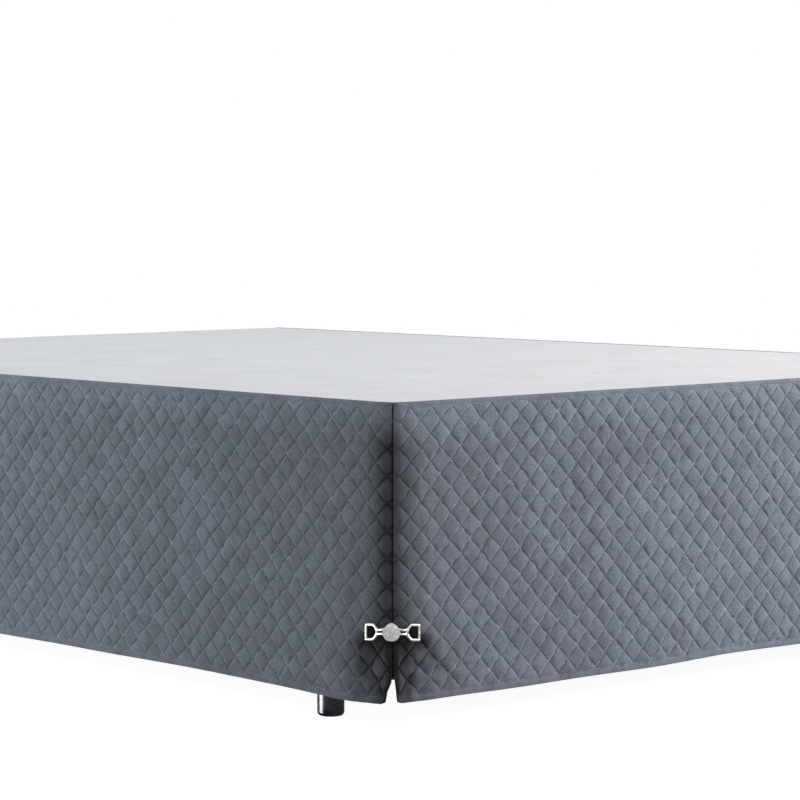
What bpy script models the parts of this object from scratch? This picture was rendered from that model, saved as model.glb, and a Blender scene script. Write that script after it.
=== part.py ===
"""A quilted bed skirt hanging from its deck over a box bed base.

Metres, +Z up. The floor is z = 0, the foot end of the bed looks towards -Y, and the
origin is on the floor under the middle of the bed. Three quilted panels hang from the
edge of a plain deck that lies on the base. They meet at the two foot corners in a slit
that a metal fastener closes near the hem.
"""

import math

import bmesh
import bpy
from mathutils import Matrix, Vector

# ---------------------------------------------------------------- bed and skirt sizes
BED_WIDTH = 1.38
BED_LENGTH = 1.88
DROP = 0.40
HEM_HEIGHT = 0.048
SEAT_GAP = 0.0003

# The skirt's seams hang a little outside the bed's own size, the base a little inside.
PANEL_OUTSET = 0.0065
BASE_INSET = 0.004
BED_CENTRE_Y = 0.0070

PATH_HALF_X = BED_WIDTH / 2 + PANEL_OUTSET
FOOT_Y = BED_CENTRE_Y - BED_LENGTH / 2 - PANEL_OUTSET
HEAD_Y = BED_CENTRE_Y + BED_LENGTH / 2
TOP_HEIGHT = HEM_HEIGHT + DROP

# ---------------------------------------------------------------- quilted cloth
QUILT_PITCH = 0.0368
BACK_LIFT = -0.0025
SEAM_LIFT = 0.0
PUFF_LIFT = 0.0025
CUT_PUFF_LIFT = 0.0016
CUT_PUFF_SHIFT = 0.38
TOP_BAND = 0.0075
HEM_BAND = 0.012
EDGE_BAND = 0.007
HALF_ROWS = 21
BACK_ROW_STEPS = (2, 4, 6, 9, 13, 18)
SEAM_SHARPNESS = 18.0

# ---------------------------------------------------------------- corner slit
CORNER_RADIUS = 0.020
CINCH_RADIUS = 0.004
CINCH_REACH = 0.055
BUCKLE_HEIGHT = 0.095
SLIT_HALF = 0.0007
FLAP_TOP = 0.085
FLAP_OPENING = 0.0092
FLAP_CURVE = 1.6
FLAP_ROUND = 0.0025
FLAP_ROUND_REACH = 0.008
EDGE_DIP = 0.0035
EDGE_DIP_WIDTH = 0.033
DIP_FADE = 0.05
TUCK = 0.0080
TUCK_AT = 0.022
TUCK_WIDTH = 0.045
TUCK_DROP = 0.050
CORNER_BLEND = 0.15

# ---------------------------------------------------------------- loose folds
FALL_POWER = 1.3
FALL_OUT = 0.0024
# wavelength, phase, how far the fold swings
FOLDS = (
    (0.83, 2.1, 0.0014),
    (0.47, 0.4, 0.0015),
    (0.29, 1.3, 0.0010),
)
# for each panel: the phase of its folds, and the waves of its hem as
# wavelength, phase and how far the hem rises and falls
PANELS = {
    "panel_left": (0.0, ((0.43, 2.0, 0.0011), (1.20, 0.6, 0.0006))),
    "panel_foot": (1.7, ((0.90, 2.6, 0.0012), (0.31, 0.5, 0.0005))),
    "panel_right": (3.1, ((0.52, 1.1, 0.0010), (1.30, 4.0, 0.0007))),
}
FOLD_FADE = 0.12

# ---------------------------------------------------------------- deck, base and feet
DECK_THICKNESS = 0.0015
DECK_CORNER = 0.032
DECK_CORNER_STEPS = 4
BASE_BOTTOM = 0.075
BASE_CORNER = 0.040
BASE_CORNER_STEPS = 5
BASE_EDGE = 0.008
FOOT_RADIUS = 0.019
FOOT_IN_X = 0.0745
FOOT_IN_Y = 0.209
FOOT_SIDES = 20
FOOT_ROUND = 0.004
FOOT_ROUND_STEPS = 2

# ---------------------------------------------------------------- corner fastener
WIRE_RADIUS = 0.0020
WIRE_SIDES = 8
PLATE_HALF_LENGTH = 0.0116
# half height, how far the outline runs level before it falls, and how full it is
PLATE_UPPER = (0.0120, 1.6, 0.85)
PLATE_LOWER = (0.0128, 3.0, 0.60)
PLATE_CROWN = 0.0026
PLATE_RIM = 0.0011
PLATE_STEPS = 22
NECK_HALF_HEIGHT = 0.0045
NECK_STEPS = 3
NECK_END = 0.0236
LOOP_START = 0.0231
LOOP_NECK_HALF = 0.0040
LOOP_SHOULDER = 0.0305
LOOP_END = 0.0442
LOOP_HALF_HEIGHT = 0.0099
LOOP_CORNER = 0.0026
LOOP_CORNER_STEPS = 3
BEND_AT = 0.0125
BEND_ANGLE = math.radians(45)
BUCKLE_OUT = 0.0049
TAB_BACK = -0.0026
TAB_FRONT = 0.0004

# ---------------------------------------------------------------- colours
SLATE_CLOTH = (0.118, 0.132, 0.150)
DECK_CLOTH = (0.62, 0.62, 0.60)
BASE_CLOTH = (0.022, 0.022, 0.024)
CHROME = (0.42, 0.42, 0.43)
PEWTER = (0.62, 0.61, 0.58)
BLACK_TAB = (0.012, 0.012, 0.013)


# ================================================================ helpers
def clear_scene():
    for old in list(bpy.data.objects):
        bpy.data.objects.remove(old, do_unlink=True)


def make_material(name, colour, roughness, metallic):
    material = bpy.data.materials.new(name)
    material.use_nodes = True
    shader = material.node_tree.nodes["Principled BSDF"]
    shader.inputs["Base Color"].default_value = (*colour, 1.0)
    shader.inputs["Roughness"].default_value = roughness
    shader.inputs["Metallic"].default_value = metallic
    return material


def add_object(name, work, material, sharp_degrees=35.0):
    """Turn a bmesh into a named, smooth-shaded object with its faces pointing out."""
    bmesh.ops.recalc_face_normals(work, faces=work.faces[:])
    mesh = bpy.data.meshes.new(name)
    work.to_mesh(mesh)
    work.free()
    mesh.materials.append(material)
    mesh.shade_smooth()
    mesh.set_sharp_from_angle(angle=math.radians(sharp_degrees))
    made = bpy.data.objects.new(name, mesh)
    bpy.context.scene.collection.objects.link(made)
    return made


def smooth_step(value):
    value = min(max(value, 0.0), 1.0)
    return value * value * (3 - 2 * value)


def bell(value):
    return math.exp(-value * value)


def zip_strip(work, first, second):
    """Join two rows of (place, vertex) pairs with triangles, however many each row has."""
    near, far = 0, 0
    while near < len(first) - 1 or far < len(second) - 1:
        step_near = near < len(first) - 1
        if step_near and far < len(second) - 1:
            diagonal_near = abs(first[near + 1][0] - second[far][0])
            step_near = diagonal_near <= abs(second[far + 1][0] - first[near][0])
        if step_near:
            corner = first[near + 1][1]
            near_next, far_next = near + 1, far
        else:
            corner = second[far + 1][1]
            near_next, far_next = near, far + 1
        work.faces.new((first[near][1], second[far][1], corner))
        near, far = near_next, far_next


# ================================================================ the hanging cloth
def corner_radius(rise):
    """How round the corner is at this height above the hem: the fastener draws it in."""
    return CORNER_RADIUS + CINCH_RADIUS * bell((rise - BUCKLE_HEIGHT) / CINCH_REACH)


def slit_half(rise):
    """Half the slit's width: nearly shut above the fastener, open to the hem below."""
    opening = FLAP_OPENING * max(0.0, 1 - rise / FLAP_TOP) ** FLAP_CURVE
    rounding = FLAP_ROUND * max(0.0, 1 - rise / FLAP_ROUND_REACH) ** 2
    return SLIT_HALF + opening + rounding


ARC_SHARE = 1 - math.pi / 4
CORNER_LOSS = ARC_SHARE * CORNER_RADIUS + SLIT_HALF


def corner_path(distance, rise):
    """Along, out and turn of the cloth at a distance from its slit edge.

    Along and out are measured from the point where the two panels' planes would meet.
    """
    radius = corner_radius(rise)
    slit = slit_half(rise)
    loss = ARC_SHARE * radius + slit - CORNER_LOSS
    reach = distance + slit - loss * smooth_step(distance / CORNER_BLEND)
    arc = radius * math.pi / 4
    if reach >= arc:
        return radius + reach - arc, 0.0, 0.0
    turn = math.pi / 4 * (1 - reach / arc)
    return radius * (1 - math.sin(turn)), -radius * (1 - math.cos(turn)), turn


def edge_relief(distance, rise, tucked):
    """How far the cloth near a corner stands out from its path."""
    tuck_across = bell((distance - TUCK_AT) / TUCK_WIDTH)
    out = -TUCK * tuck_across * smooth_step((BUCKLE_HEIGHT - rise) / TUCK_DROP)
    if tucked:
        held = 1 - 0.8 * bell((rise - BUCKLE_HEIGHT) / CINCH_REACH)
        sewn = smooth_step((DROP - rise) / DIP_FADE)
        out -= EDGE_DIP * max(0.0, 1 - distance / EDGE_DIP_WIDTH) ** 2 * held * sewn
    return out


def loose_folds(along, rise, phase):
    """Soft folds that grow from nothing at the deck to a few millimetres at the hem."""
    swing = sum(
        size * math.sin(2 * math.pi * along / length + start + phase)
        for length, start, size in FOLDS
    )
    return (1 - rise / DROP) ** FALL_POWER * (FALL_OUT + swing)


def hem_rise(along, waves):
    return sum(
        size * math.sin(2 * math.pi * along / length + start) for length, start, size in waves
    )


def cloth_point(name, column, rise, lift):
    """A point of a panel: its column's end and distance, its height and its lift."""
    end, distance = column
    along, out, turn = corner_path(distance, rise)
    phase, hem_waves = PANELS[name]
    run = along if end < 0 else 2 * PATH_HALF_X - along
    free = smooth_step(distance / FOLD_FADE)
    stand = edge_relief(distance, rise, tucked=name != "panel_foot")
    stand += free * loose_folds(run, rise, phase)
    height = HEM_HEIGHT + rise + free * (1 - rise / DROP) * hem_rise(run, hem_waves)
    along -= math.sin(turn) * (lift + stand)
    out += math.cos(turn) * (lift + stand)
    if name == "panel_foot":
        return Vector((end * (PATH_HALF_X - along), FOOT_Y - out, height))
    side = -1 if name == "panel_left" else 1
    return Vector((side * (PATH_HALF_X + out), FOOT_Y + along, height))


def panel_columns(name):
    """Places of the half-pitch columns, and of the plain columns before and after them."""
    edge = (0.0, EDGE_BAND / 2)
    if name == "panel_foot":
        width = 2 * (PATH_HALF_X - EDGE_BAND - CORNER_LOSS)
        count = 2 * round(width / QUILT_PITCH)
        step = width / count
        quilt = [EDGE_BAND + step * index for index in range(count // 2 + 1)]
        quilted = [(-1, place) for place in quilt]
        quilted += [(1, place) for place in reversed(quilt[:-1])]
        before = [(-1, place) for place in edge]
        after = [(1, place) for place in reversed(edge)]
        return before, quilted, after
    length = HEAD_Y - FOOT_Y - CORNER_LOSS - 2 * EDGE_BAND
    count = 2 * round(length / QUILT_PITCH)
    step = length / count
    before = [(-1, place) for place in edge]
    quilted = [(-1, EDGE_BAND + step * index) for index in range(count + 1)]
    after = [(-1, 2 * EDGE_BAND + length)]
    return before, quilted, after


def between_columns(quilted, place):
    """The column at a fractional index, on whichever end it is measured from."""
    low = math.floor(place)
    high = min(low + 1, len(quilted) - 1)
    end, start = quilted[low]
    if quilted[high][0] != end:
        return quilted[low]
    return end, start + (quilted[high][1] - start) * (place - low)


def quilted_face(work, name, quilted, row_rise):
    """Raise one pyramid for each diamond between the crossing seams."""
    last_column = len(quilted) - 1
    last_row = len(row_rise) - 1
    crossings = {}

    def crossing(column, row):
        key = (column, row)
        if key not in crossings:
            point = cloth_point(name, quilted[column], row_rise[row], SEAM_LIFT)
            crossings[key] = work.verts.new(point)
        return crossings[key]

    def puff(column, row, cut):
        lift = CUT_PUFF_LIFT if cut else PUFF_LIFT
        low = math.floor(row)
        high = min(low + 1, last_row)
        rise = row_rise[low] + (row_rise[high] - row_rise[low]) * (row - low)
        return work.verts.new(cloth_point(name, between_columns(quilted, column), rise, lift))

    for column in range(last_column + 1):
        for row in range(last_row + 1):
            if (column + row) % 2 == 0:
                continue
            shift_across = CUT_PUFF_SHIFT * ((column == 0) - (column == last_column))
            shift_up = CUT_PUFF_SHIFT * ((row == 0) - (row == last_row))
            cut = bool(shift_across or shift_up)
            ring = [(column - 1, row), (column, row - 1), (column + 1, row), (column, row + 1)]
            ring = [
                (across, up)
                for across, up in ring
                if 0 <= across <= last_column and 0 <= up <= last_row
            ]
            if len(ring) == 2:
                ring.append((column, row))
            corners = [crossing(*key) for key in ring]
            centre = puff(column + shift_across, row + shift_up, cut)
            for index, corner in enumerate(corners):
                work.faces.new((corner, corners[(index + 1) % len(corners)], centre))
    return crossings


def boundary(crossings, fixed, index):
    """The crossings along one edge of the quilting, in order, with their places."""
    row = [(key[1 - fixed], key) for key in crossings if key[fixed] == index]
    return [(place, crossings[key]) for place, key in sorted(row)]


def build_panel(name, material):
    """One quilted panel: raised face, plain bands and edges, and a flat back."""
    work = bmesh.new()
    before, quilted, after = panel_columns(name)
    step = (DROP - TOP_BAND - HEM_BAND) / HALF_ROWS
    row_rise = [HEM_BAND + step * index for index in range(HALF_ROWS + 1)]
    crossings = quilted_face(work, name, quilted, row_rise)
    last_column = len(quilted) - 1

    # The rows of the plain edge columns and of the back.
    first_side = boundary(crossings, 0, 0)
    last_side = boundary(crossings, 0, last_column)
    side_rises = [row_rise[row] for row, _ in first_side]
    back_rises = [0.0] + [row_rise[row] for row in BACK_ROW_STEPS] + [DROP]

    def column_of(column, rises, lift):
        return [(rise, work.verts.new(cloth_point(name, column, rise, lift))) for rise in rises]

    front_columns = {}
    for index, column in enumerate(before):
        front_columns[index - len(before)] = column_of(column, side_rises, SEAM_LIFT)
    front_columns[0] = [(row_rise[row], vert) for row, vert in first_side]
    front_columns[last_column] = [(row_rise[row], vert) for row, vert in last_side]
    for index, column in enumerate(after):
        front_columns[last_column + 1 + index] = column_of(column, side_rises, SEAM_LIFT)
    places = sorted(front_columns)
    for low, high in zip(places, places[1:]):
        if high <= 0 or low >= last_column:
            zip_strip(work, front_columns[low], front_columns[high])

    # The hem band below the quilting and the stitched band above it.
    all_columns = before + quilted + after
    offset = len(before)
    plain = [index for index in range(len(all_columns)) if not 1 < index - offset < last_column - 1]
    edge_places = sorted(plain + [offset + index for index in range(2, last_column, 2)])
    back_places = sorted(plain + [offset + index for index in range(2, last_column - 1, 4)])

    def long_row(rise, lift, indices):
        return [
            (index, work.verts.new(cloth_point(name, all_columns[index], rise, lift)))
            for index in indices
        ]

    def quilt_edge(row, end):
        edge = [(place + offset, vert) for place, vert in boundary(crossings, 1, row)]
        for place, column in front_columns.items():
            if place < 0 or place > last_column:
                edge.append((place + offset, column[end][1]))
        return sorted(edge, key=lambda item: item[0])

    hem_edge = long_row(0.0, SEAM_LIFT, edge_places)
    top_edge = long_row(DROP, SEAM_LIFT, edge_places)
    zip_strip(work, hem_edge, quilt_edge(0, 0))
    zip_strip(work, quilt_edge(HALF_ROWS, -1), top_edge)

    # The back, and the narrow rims that join it to the face.
    back_rows = [long_row(rise, BACK_LIFT, back_places) for rise in back_rises]
    for lower, upper in zip(back_rows, back_rows[1:]):
        zip_strip(work, lower, upper)
    zip_strip(work, hem_edge, back_rows[0])
    zip_strip(work, top_edge, back_rows[-1])
    for place, end in ((places[0], 0), (places[-1], -1)):
        face_side = [(0.0, hem_edge[end][1])] + front_columns[place] + [(DROP, top_edge[end][1])]
        back_side = [(rise, row[end][1]) for rise, row in zip(back_rises, back_rows)]
        zip_strip(work, face_side, back_side)
    return add_object(name, work, material, sharp_degrees=SEAM_SHARPNESS)


# ================================================================ deck, base and feet
def foot_rounded_outline(half_x, foot_y, head_y, radius, steps, head_radius=0.0):
    """A rectangle in plan with its foot corners rounded, and its head corners if asked."""
    corners = (
        (-half_x, foot_y, radius, 180),
        (half_x, foot_y, radius, 270),
        (half_x, head_y, head_radius, 0),
        (-half_x, head_y, head_radius, 90),
    )
    outline = []
    for x, y, corner, start in corners:
        if corner == 0.0:
            outline.append((x, y))
            continue
        centre_x = x - math.copysign(corner, x)
        centre_y = y + corner if y == foot_y else y - corner
        for index in range(steps + 1):
            angle = math.radians(start + 90 * index / steps)
            point = (centre_x + corner * math.cos(angle), centre_y + corner * math.sin(angle))
            outline.append(point)
    return outline


def extruded(outline, low, high):
    work = bmesh.new()
    bottom = work.faces.new([work.verts.new((x, y, low)) for x, y in outline])
    top = bmesh.ops.extrude_face_region(work, geom=[bottom])
    moved = [item for item in top["geom"] if isinstance(item, bmesh.types.BMVert)]
    bmesh.ops.translate(work, verts=moved, vec=(0, 0, high - low))
    return work


def build_deck(material):
    """The plain cloth on the base, cut to meet the panels' backs at its edge."""
    half_x = PATH_HALF_X + BACK_LIFT - SEAT_GAP
    foot_y = FOOT_Y - BACK_LIFT + SEAT_GAP
    outline = foot_rounded_outline(half_x, foot_y, HEAD_Y, DECK_CORNER, DECK_CORNER_STEPS)
    work = extruded(outline, TOP_HEIGHT - DECK_THICKNESS, TOP_HEIGHT)
    return add_object("deck", work, material)


def build_base(material):
    """The upholstered box: round corners in plan and soft edges above and below."""
    half_x = BED_WIDTH / 2 - BASE_INSET
    foot_y = BED_CENTRE_Y - BED_LENGTH / 2 + BASE_INSET
    outline = foot_rounded_outline(
        half_x, foot_y, HEAD_Y, BASE_CORNER, BASE_CORNER_STEPS, head_radius=BASE_CORNER
    )
    top = TOP_HEIGHT - DECK_THICKNESS - SEAT_GAP
    work = extruded(outline, BASE_BOTTOM, top)
    rims = [edge for edge in work.edges if edge.verts[0].co.z == edge.verts[1].co.z]
    bmesh.ops.bevel(work, geom=rims, offset=BASE_EDGE, segments=2, profile=0.5, affect="EDGES")
    return add_object("base", work, material)


def build_foot(name, x, y, material):
    """A round foot, turned from its profile, with a rounded lower edge."""
    height = BASE_BOTTOM - SEAT_GAP
    inner = FOOT_RADIUS - FOOT_ROUND
    profile = [(inner, 0.0)]
    for index in range(1, FOOT_ROUND_STEPS + 1):
        angle = math.pi / 2 * index / FOOT_ROUND_STEPS
        profile.append((inner + FOOT_ROUND * math.sin(angle), FOOT_ROUND * (1 - math.cos(angle))))
    profile.append((FOOT_RADIUS, height))
    work = bmesh.new()
    rings = []
    for radius, level in profile:
        ring = []
        for index in range(FOOT_SIDES):
            angle = 2 * math.pi * index / FOOT_SIDES
            ring.append(work.verts.new((radius * math.cos(angle), radius * math.sin(angle), level)))
        rings.append(ring)
    for lower, upper in zip(rings, rings[1:]):
        for index in range(FOOT_SIDES):
            after = (index + 1) % FOOT_SIDES
            work.faces.new((lower[index], lower[after], upper[after], upper[index]))
    work.faces.new(rings[0][::-1])
    work.faces.new(rings[-1])
    foot = add_object(name, work, material)
    foot.location = (x, y, 0.0)
    return foot


# ================================================================ corner fastener
def bent(point):
    """Bend the fastener's two wings back round the corner."""
    across, up, out = point
    past = abs(across) - BEND_AT
    if past <= 0:
        return Vector(point)
    side = math.copysign(1.0, across)
    turned_across = BEND_AT + past * math.cos(BEND_ANGLE) + out * math.sin(BEND_ANGLE)
    turned_out = out * math.cos(BEND_ANGLE) - past * math.sin(BEND_ANGLE)
    return Vector((side * turned_across, up, turned_out))


def closed_tube(path, radius, sides):
    """A wire swept round a flat closed path, in the plane of across and up."""
    work = bmesh.new()
    rings = []
    count = len(path)
    for index, point in enumerate(path):
        before = Vector(path[index - 1])
        after = Vector(path[(index + 1) % count])
        run = (after - before).normalized()
        sideways = Vector((run.y, -run.x))
        ring = []
        for step in range(sides):
            angle = 2 * math.pi * (step + 0.5) / sides
            centre = Vector(point) + sideways * (radius * math.cos(angle))
            ring.append(work.verts.new((centre.x, centre.y, radius * math.sin(angle))))
        rings.append(ring)
    for index in range(count):
        ring, following = rings[index], rings[(index + 1) % count]
        for step in range(sides):
            after = (step + 1) % sides
            work.faces.new((ring[step], ring[after], following[after], following[step]))
    return work


def loop_outline(side, shrink=0.0):
    """The run of a loop: a bar at the neck, shoulders that spread, and an outer bar."""
    start = LOOP_START + shrink
    neck_half = LOOP_NECK_HALF - shrink * 0.5
    shoulder = LOOP_SHOULDER + shrink * 0.33
    end = LOOP_END - shrink
    half = LOOP_HALF_HEIGHT - shrink
    corner = max(LOOP_CORNER - shrink, 0.0006)
    points = [(start, -neck_half), (start, neck_half), (shoulder, half)]
    for centre_up, first in ((half - corner, 90), (corner - half, 0)):
        for index in range(LOOP_CORNER_STEPS + 1):
            angle = math.radians(first - 90 * index / LOOP_CORNER_STEPS)
            across = end - corner + corner * math.cos(angle)
            points.append((across, centre_up + corner * math.sin(angle)))
    points.append((shoulder, -half))
    if side < 0:
        return [(-across, up) for across, up in reversed(points)]
    return points


def make_loop(side):
    work = closed_tube(loop_outline(side), WIRE_RADIUS, WIRE_SIDES)
    for vert in work.verts:
        vert.co = bent(vert.co)
    return work


def plate_half_height(share, half):
    """The plate's half height at a share of its half length."""
    height, level, fullness = half
    return height * (1 - abs(share) ** level) ** fullness


def make_plate():
    """The crowned plate, peaked above and round below: a rim and two crowned faces."""
    work = bmesh.new()
    rim = []
    for index in range(PLATE_STEPS):
        angle = 2 * math.pi * index / PLATE_STEPS
        share = math.cos(angle)
        if math.sin(angle) >= 0:
            up = plate_half_height(share, PLATE_UPPER)
        else:
            up = -plate_half_height(share, PLATE_LOWER)
        rim.append((share * PLATE_HALF_LENGTH, up))
    levels = ((1.0, PLATE_RIM), (0.80, PLATE_CROWN * 0.78), (0.45, PLATE_CROWN))
    faces = {}
    for side in (-1, 1):
        rings = []
        for share, crown in levels:
            ring = [work.verts.new((x * share, y * share, side * crown)) for x, y in rim]
            rings.append(ring)
        faces[side] = rings
    for rings in faces.values():
        for outer, inner in zip(rings, rings[1:]):
            for index in range(PLATE_STEPS):
                after = (index + 1) % PLATE_STEPS
                work.faces.new((outer[index], outer[after], inner[after], inner[index]))
        work.faces.new(rings[-1])
    low, high = faces[-1][0], faces[1][0]
    for index in range(PLATE_STEPS):
        after = (index + 1) % PLATE_STEPS
        work.faces.new((low[index], low[after], high[after], high[index]))
    return work


def make_neck(side):
    """A short round neck from inside the plate to inside the loop's start."""
    start, end = PLATE_HALF_LENGTH * 0.72, NECK_END
    work = bmesh.new()
    rings = []
    for index in range(NECK_STEPS + 1):
        across = start + (end - start) * index / NECK_STEPS
        ring = []
        for step in range(WIRE_SIDES):
            angle = 2 * math.pi * (step + 0.5) / WIRE_SIDES
            up = NECK_HALF_HEIGHT * math.cos(angle)
            out = WIRE_RADIUS * math.sin(angle) * 0.93
            ring.append(work.verts.new(bent((side * across, up, out))))
        rings.append(ring)
    for ring, following in zip(rings, rings[1:]):
        for step in range(WIRE_SIDES):
            after = (step + 1) % WIRE_SIDES
            work.faces.new((ring[step], ring[after], following[after], following[step]))
    work.faces.new(rings[0])
    work.faces.new(rings[-1])
    return work


def buckle_frame(side):
    """Across, up and out of the fastener at a foot corner, as a placing matrix."""
    out = Vector((side, -1, 0)).normalized()
    up = Vector((0, 0, 1))
    across = up.cross(out)
    frame = Matrix((across, up, out)).transposed().to_4x4()
    radius = corner_radius(BUCKLE_HEIGHT)
    inward = (math.sqrt(2) - 1) * radius - BUCKLE_OUT
    corner = Vector((side * PATH_HALF_X, FOOT_Y, HEM_HEIGHT + BUCKLE_HEIGHT))
    frame.translation = corner - out * inward
    return frame


def build_buckle(name, side, material):
    """Plate, necks and loops, joined into one casting."""
    body = add_object(name, make_plate(), material)
    frame = buckle_frame(side)
    body.matrix_world = frame
    for wing in (-1, 1):
        for kind, maker in (("neck", make_neck), ("loop", make_loop)):
            label = "left" if wing < 0 else "right"
            cutter = add_object(f"{name}_{kind}_{label}_joined", maker(wing), material)
            cutter.matrix_world = frame
            cutter.hide_render = True
            cutter.display_type = "WIRE"
            join = body.modifiers.new(f"{kind}_{label}", "BOOLEAN")
            join.operation = "UNION"
            join.solver = "EXACT"
            join.object = cutter
    return body


def build_tab(name, side, wing, material):
    """The black tab that fills a loop's eye and reaches the cloth behind it."""
    shrink = WIRE_RADIUS + SEAT_GAP
    work = extruded(loop_outline(wing, shrink), TAB_BACK, TAB_FRONT)
    for vert in work.verts:
        vert.co = bent(vert.co)
    tab = add_object(name, work, material)
    tab.matrix_world = buckle_frame(side)
    return tab


# ================================================================ assembly
def main():
    clear_scene()
    cloth = make_material("slate_cloth", SLATE_CLOTH, 0.85, 0.0)
    deck_cloth = make_material("deck_cloth", DECK_CLOTH, 0.9, 0.0)
    base_cloth = make_material("base_cloth", BASE_CLOTH, 0.8, 0.0)
    chrome = make_material("chrome", CHROME, 0.2, 1.0)
    pewter = make_material("pewter", PEWTER, 0.35, 1.0)
    tab_cloth = make_material("tab_cloth", BLACK_TAB, 0.7, 0.0)

    for name in PANELS:
        build_panel(name, cloth)
    build_deck(deck_cloth)
    build_base(base_cloth)

    foot_x = PATH_HALF_X - FOOT_IN_X
    foot_y = FOOT_Y + FOOT_IN_Y
    for end, y in (("front", foot_y), ("back", 2 * BED_CENTRE_Y - foot_y)):
        build_foot(f"foot_{end}_left", -foot_x, y, chrome)
        build_foot(f"foot_{end}_right", foot_x, y, chrome)

    for corner, side in (("left", -1), ("right", 1)):
        build_buckle(f"buckle_{corner}", side, pewter)
        for edge, wing in (("a", -1), ("b", 1)):
            build_tab(f"tab_{corner}_{edge}", side, wing, tab_cloth)


main()
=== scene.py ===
"""The looks of a quilted bed skirt on its box base: cloth, deck, base, feet and fasteners."""

import math

import bmesh
import bpy
import numpy as np
from mathutils import Matrix, Vector


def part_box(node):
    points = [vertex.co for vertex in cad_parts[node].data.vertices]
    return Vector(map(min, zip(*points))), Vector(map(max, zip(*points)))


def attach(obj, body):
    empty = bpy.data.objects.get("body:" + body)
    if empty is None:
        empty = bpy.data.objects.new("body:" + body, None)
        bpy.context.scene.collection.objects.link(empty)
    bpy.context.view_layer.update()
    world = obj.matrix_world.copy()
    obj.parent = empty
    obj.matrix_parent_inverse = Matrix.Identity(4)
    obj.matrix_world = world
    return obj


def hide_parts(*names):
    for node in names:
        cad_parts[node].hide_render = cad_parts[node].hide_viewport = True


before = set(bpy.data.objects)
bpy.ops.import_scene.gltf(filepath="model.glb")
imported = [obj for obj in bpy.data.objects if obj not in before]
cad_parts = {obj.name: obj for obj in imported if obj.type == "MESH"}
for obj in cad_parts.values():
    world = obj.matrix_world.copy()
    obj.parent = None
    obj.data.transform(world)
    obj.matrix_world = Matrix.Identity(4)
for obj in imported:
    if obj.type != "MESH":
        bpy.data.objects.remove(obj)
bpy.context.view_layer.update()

# ---- sizes the solids share
DROP = 0.40
BACK_LIFT = -0.0025
SEAT_GAP = 0.0003
QUILT_PITCH = 0.0368
TOP_BAND = 0.0075
HEM_BAND = 0.012
EDGE_BAND = 0.007
HALF_ROWS = 21
ROW_STEP = (DROP - TOP_BAND - HEM_BAND) / HALF_ROWS

deck_low, deck_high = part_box("deck")
TOP_HEIGHT = deck_high.z
HEM_HEIGHT = TOP_HEIGHT - DROP
PATH_HALF_X = deck_high.x - BACK_LIFT + SEAT_GAP
FOOT_Y = deck_low.y + BACK_LIFT - SEAT_GAP
HEAD_Y = deck_high.y

# ---- corner slit
# some sizes differ between a side panel and the foot panel
KIND = {"panel_left": "side", "panel_foot": "foot", "panel_right": "side"}
CORNER_RADIUS = 0.020
CINCH_RADIUS = 0.004
CINCH_REACH = 0.055
BUCKLE_HEIGHT = 0.095
SLIT_HALF = 0.0007
FLAP_TOP = 0.085
FLAP_OPENING = 0.0092
FLAP_CURVE = 1.6
FLAP_ROUND = 0.0025
FLAP_ROUND_REACH = 0.008
# a flap's share of the opening, and how far it arches wider still at the hem
FLAP_SHARES = {"side": (0.80, 0.0135), "foot": (0.58, 0.0026)}
ARCH_TOP = 0.0300
ARCH_RUN = 0.009
ARCH_BLEND = 0.036
ARCH_POWER = 1.5
# how much lower a flap hangs beside the slit: drop, place of the most, width
FLAP_DROOPS = {"side": (0.0042, 0.040, 0.140), "foot": (0.0018, 0.040, 0.060)}
FLAP_DROOP_POWER = 3
# a flap's rounded corner: its height, then its reach across and up
FLAP_CORNER = (0.0020, 0.007, 0.014)
EDGE_DIP = 0.0035
EDGE_DIP_WIDTH = 0.033
DIP_FADE = 0.05
DIP_HELD = 0.8
TUCK = 0.0080
TUCK_AT = 0.022
TUCK_WIDTH = 0.045
TUCK_DROP = 0.050
CORNER_BLEND = 0.15
ARC_SHARE = 1 - math.pi / 4
CORNER_LOSS = ARC_SHARE * CORNER_RADIUS + SLIT_HALF

# ---- loose folds
FALL_POWER = 1.3
FALL_OUT = 0.0024
# wavelength, phase, how far the fold swings
FOLDS = (
    (0.83, 2.1, 0.0014),
    (0.47, 0.4, 0.0015),
    (0.29, 1.3, 0.0010),
)
# for each panel: the phase of its folds, and the waves of its hem as
# wavelength, phase and how far the hem rises and falls
PANELS = {
    "panel_left": (0.0, ((1.40, -1.35, 0.0018), (0.43, 0.3, 0.0003))),
    "panel_foot": (1.7, ((0.90, 2.6, 0.0012), (0.31, 0.5, 0.0005))),
    "panel_right": (3.1, ((0.52, 1.1, 0.0010), (1.30, 4.0, 0.0007))),
}
FOLD_FADE = 0.12

# ---- fine quilting
CELLS = 6
FLOOR_NUDGE = 1e-7
# the side panels are pulled a little flatter than the foot panel
PUFF_HEIGHTS = {"side": 0.0025, "foot": 0.0027}
PUFF_LEAST = 0.0003
SEAM_SINK = -0.0004
PUFF_POWER = 0.50
PUFF_SPREAD = 0.17
PUFF_LEAN = 0.13
# how much each diamond's tone differs, and the share of it where the tone blends
DIAMOND_TONE = 0.07
DIAMOND_BLEND = 0.12
# uneven forms over the cloth: their size, then how many to a column
SEAM_WANDER = (0.0013, 0.8)
SEAM_JOG = (0.0005, 2.7)
WRINKLE = (0.00036, 2.9)
# creases across the seams: height, how close along and from seam to seam, slant, reach
SEAM_PUCKER = 0.00075
PUCKER_RUN = (3.4, 5.3, 1.5, 0.17)
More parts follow.
